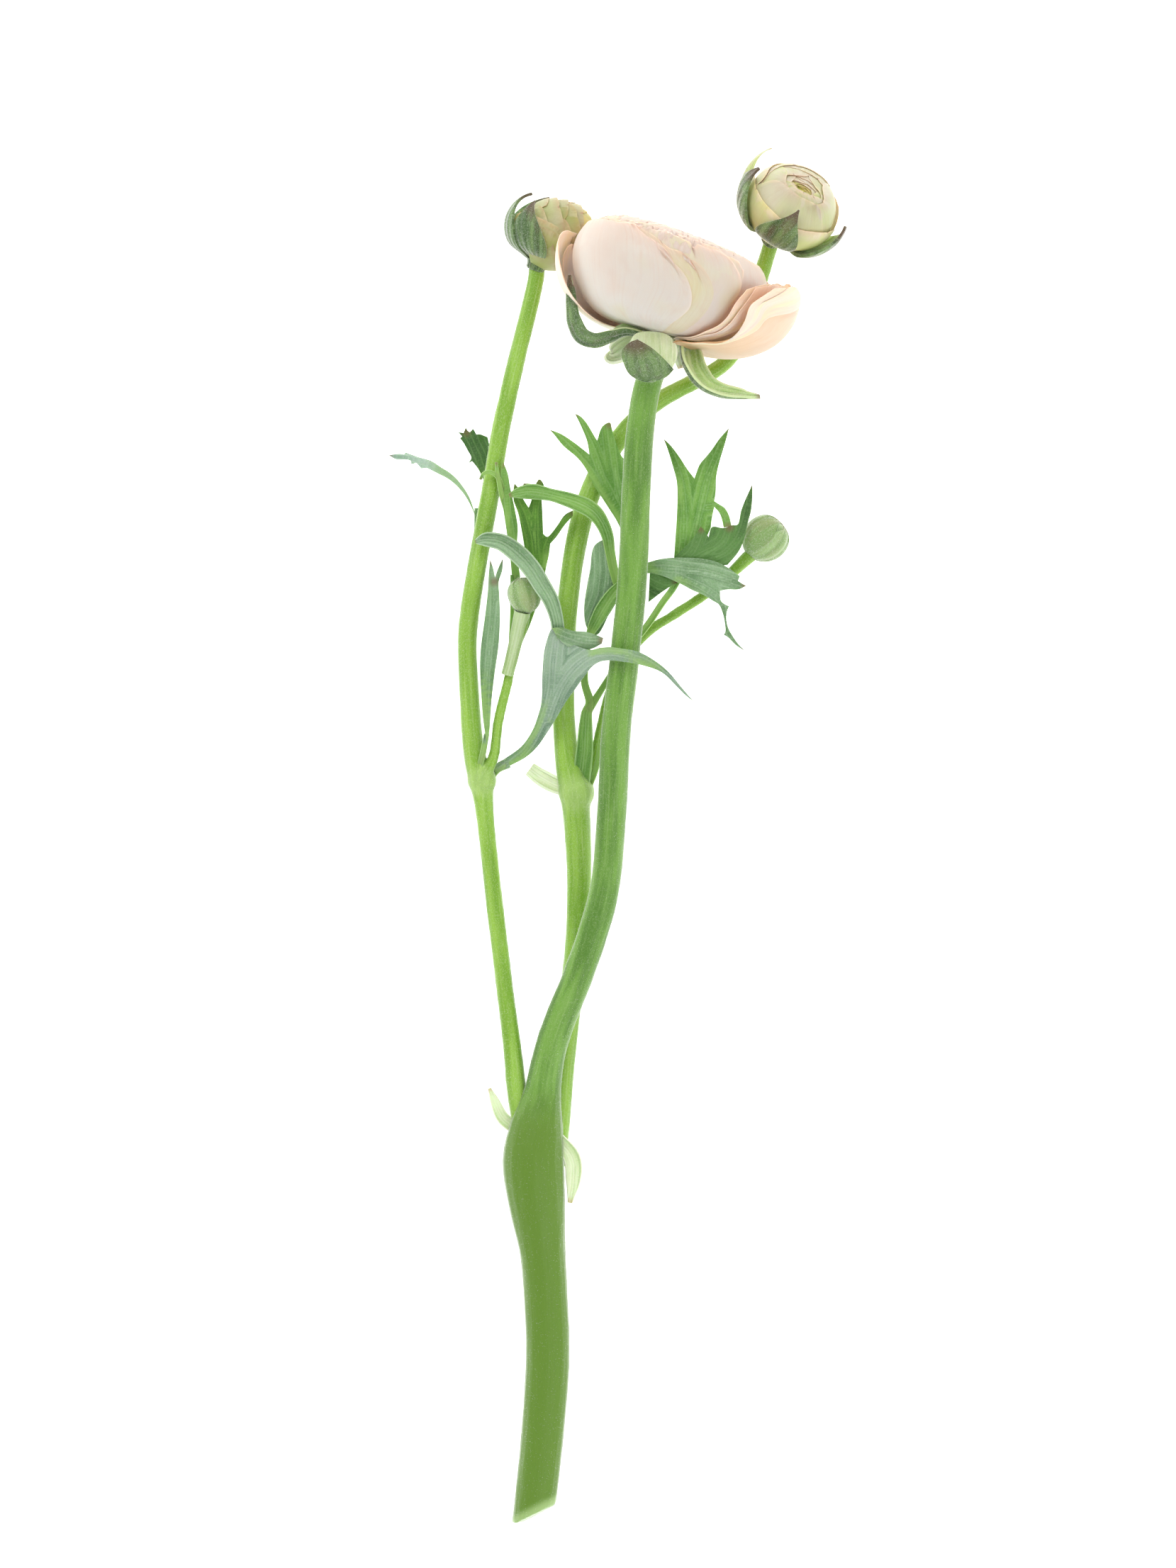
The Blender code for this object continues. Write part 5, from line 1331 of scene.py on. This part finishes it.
def build_sheaths():
    """The pale remains of sheaths at the nodes and the base, and the sheath round a small bud's stalk."""
    build_leaf("stalk_sheath", "left_bud_stalk", "pale_sheath", STALK_SHEATH, (), (STALK_SKIN, STALK_SKIN),
               roll=320, thick=0.3, face=(0, 0, -1), across=20)
    pale = (PALE_SHEATH, PALE_SHEATH)
    build_leaf("torn_stub", "mid_node_stub", "pale_sheath", MID_NODE_STUB, (), pale, thick=0.9)
    build_leaf("left_base_scale", "base_sheath_left", "pale_sheath", BASE_SHEATH_LEFT, (), pale)
    build_leaf("right_base_scale", "base_sheath_right", "pale_sheath", BASE_SHEATH_RIGHT, (), pale)


def build_flower_sepals():
    """The flower's sepals, bent back under it. The front one shows its pale face, and folds up again."""
    front = [
        cut_blade("front_sepal_face", FRONT_SEPAL_FACE, FRONT_SEPAL_FACE_RIBS, (PALE_SHEATH, SEPAL_FACE),
                  seed=1, thick=0.7, fold=0.12, pleat=0.3),
        cut_blade("front_sepal_back", FRONT_SEPAL_BACK, FRONT_SEPAL_BACK_RIBS, (SEPAL_BACK, SEPAL_FACE),
                  seed=2, thick=0.9, fold=0.45, pleat=0.22),
    ]
    made = [piece(join("reflexed_sepal_front", front), "hairy_sepal", "flower_sepal_front")]
    for i, (name, (face, route)) in enumerate(FLOWER_SEPALS.items()):
        skins = (PALE_SHEATH, SEPAL_FACE) if name.startswith("back") else (SEPAL_FACE, SEPAL_BACK)
        obj = blade(f"reflexed_sepal_{name}", route, skins, face=face, thick=0.8, seed=i, steps=8, across=18,
                    ridge=0.3, roll=140)
        made.append(piece(obj, "hairy_sepal", f"flower_sepal_{name}"))
    return made


# ---- hairs ----

UNRULY = 0.55                # how far a hair leans from its skin's normal
ROOTED = 0.1                 # how deep its foot lies in the skin


def hairs(name, slot, sources, count, long, thick, seed):
    """Short tapering hairs scattered over some pieces' skins, each a three-sided spike."""
    chance = random.Random(seed)
    corners, areas = [], []
    for obj in sources:
        mesh = obj.data
        mesh.calc_loop_triangles()
        for tri in mesh.loop_triangles:
            a, b, c = (mesh.vertices[i].co for i in tri.vertices)
            corners.append((a.copy(), b.copy(), c.copy(), tri.normal.copy()))
            areas.append(tri.area)
    verts, faces = [], []
    for a, b, c, normal in chance.choices(corners, areas, k=count):
        u, v = sorted((chance.random(), chance.random()))
        root = a * u + b * (v - u) + c * (1 - v)
        if root.z < long * MM:
            continue
        loose = Vector((chance.uniform(-1, 1), chance.uniform(-1, 1), chance.uniform(-1, 1)))
        way = (normal + loose * UNRULY).normalized()
        side = way.orthogonal().normalized() * thick * MM / 2
        first = len(verts)
        for k in range(3):
            corner = side.copy()
            corner.rotate(Quaternion(way, math.radians(120 * k)))
            verts.append(root - way * ROOTED * MM + corner)
        verts.append(root + way * chance.uniform(0.5, 1.0) * long * MM)
        faces += [(first, first + 1, first + 3), (first + 1, first + 2, first + 3),
                  (first + 2, first, first + 3), (first + 2, first + 1, first)]
    mesh = bpy.data.meshes.new(name)
    mesh.from_pydata(verts, [], faces)
    mesh.materials.append(HAIR)
    obj = bpy.data.objects.new(name, mesh)
    bpy.context.scene.collection.objects.link(obj)
    return piece(obj, slot)


# ---- camera, light and floor ----

VIEW_CENTRE = (-8.5, 15.8)      # what the camera looks straight down on
VIEW_HEIGHT = 442.4             # how much of the stem's direction the picture takes in
CAMERA_HEIGHT = 4000.0          # above the stems, so that nothing looks nearer than it is
STEM_LEVEL = 30.0
SENSOR = 36.0
WHITE = (1, 1, 1, 1)
GLOW = 0.85                     # of the white surroundings, and of the card so that it stays white

# In metres. The floor is just clear of what lies on it. Lamps: (name, where it stands, its width, its watts).
FLOOR_SIZE, FLOOR_LEVEL = 6, -0.0002
LAMPS = (("key", (-0.5, 1.1, 1.3), 0.9, 11), ("fill", (0.7, -0.7, 1.1), 1.1, 6))


def place_in_scene(name, data, location):
    obj = bpy.data.objects.new(name, data)
    obj.location = location
    bpy.context.scene.collection.objects.link(obj)
    return obj


def build_studio():
    data = bpy.data.cameras.new("camera")
    data.sensor_width = SENSOR
    data.lens = SENSOR * CAMERA_HEIGHT / VIEW_HEIGHT
    data.clip_end = 5 * CAMERA_HEIGHT * MM
    bpy.context.scene.camera = place_in_scene("camera", data, mm(*VIEW_CENTRE, STEM_LEVEL + CAMERA_HEIGHT))

    bpy.ops.mesh.primitive_plane_add(size=FLOOR_SIZE, location=(0, 0, FLOOR_LEVEL))
    floor = bpy.context.object
    floor.name = "floor"
    floor.data.materials.append(speckled("white_card", 900.0, 3.0, "#F7F7F6", "#FCFCFC", Roughness=0.9,
                                         Emission_Strength=GLOW, Emission_Color=WHITE))

    world = bpy.data.worlds.new("studio")
    bpy.context.scene.world = world
    world.use_nodes = True
    world.node_tree.nodes["Background"].inputs["Color"].default_value = WHITE
    world.node_tree.nodes["Background"].inputs["Strength"].default_value = GLOW
    for name, where, size, power in LAMPS:
        light = bpy.data.lights.new(name, "AREA")
        light.shape = "DISK"
        light.size = size
        light.energy = power
        lamp = place_in_scene(name, light, where)
        lamp.rotation_euler = (-Vector(where)).to_track_quat("-Z", "Y").to_euler()
    bpy.context.scene.view_settings.view_transform = "Standard"


stems = [
    build_main_stem(),
    build_branch("left_bud_stem", (LEFT_BRANCH, LEFT_BUD_STALK), LEFT_NODE,
                 ("left_branch", "left_bud_stalk")),
    build_branch("right_bud_stem", (MIDDLE_BRANCH, RIGHT_BUD_STALK), MIDDLE_NODE,
                 ("middle_branch", "right_bud_stalk")),
]
build_flower()
flower_sepals = build_flower_sepals()
build_bud("right", RIGHT_BUD, RIGHT_BUD_EYE, BUD_BODY, RIGHT_BUD_PETALS, RIGHT_BUD_INSIDE, RIGHT_BUD_SEPALS,
          CREAM_SKINS, 200)
build_bud("left", LEFT_BUD, LEFT_BUD_EYE, LEFT_EYE_BODY, LEFT_BUD_PETALS, LEFT_BUD_INSIDE, LEFT_BUD_SEPALS,
          GREENISH_SKINS, 300)
small_buds = [build_small_bud("left", *LEFT_SMALL_BUD, 20), build_small_bud("right", *RIGHT_SMALL_BUD, 50)]
build_leaves()
build_sheaths()
bud_sepals = [obj for obj in bpy.data.objects if "_bud_calyx_" in obj.name]
hairs("calyx_hairs", "hairy_sepal", flower_sepals, 14000, 1.0, 0.022, 1)
hairs("bud_hairs", "hairy_sepal", bud_sepals, 16000, 0.8, 0.022, 2)
hairs("small_bud_hairs", "hairy_sepal", small_buds, 7000, 0.8, 0.05, 3)
hairs("stem_hairs", "stem_green", stems, 26000, 0.5, 0.05, 4)
build_studio()
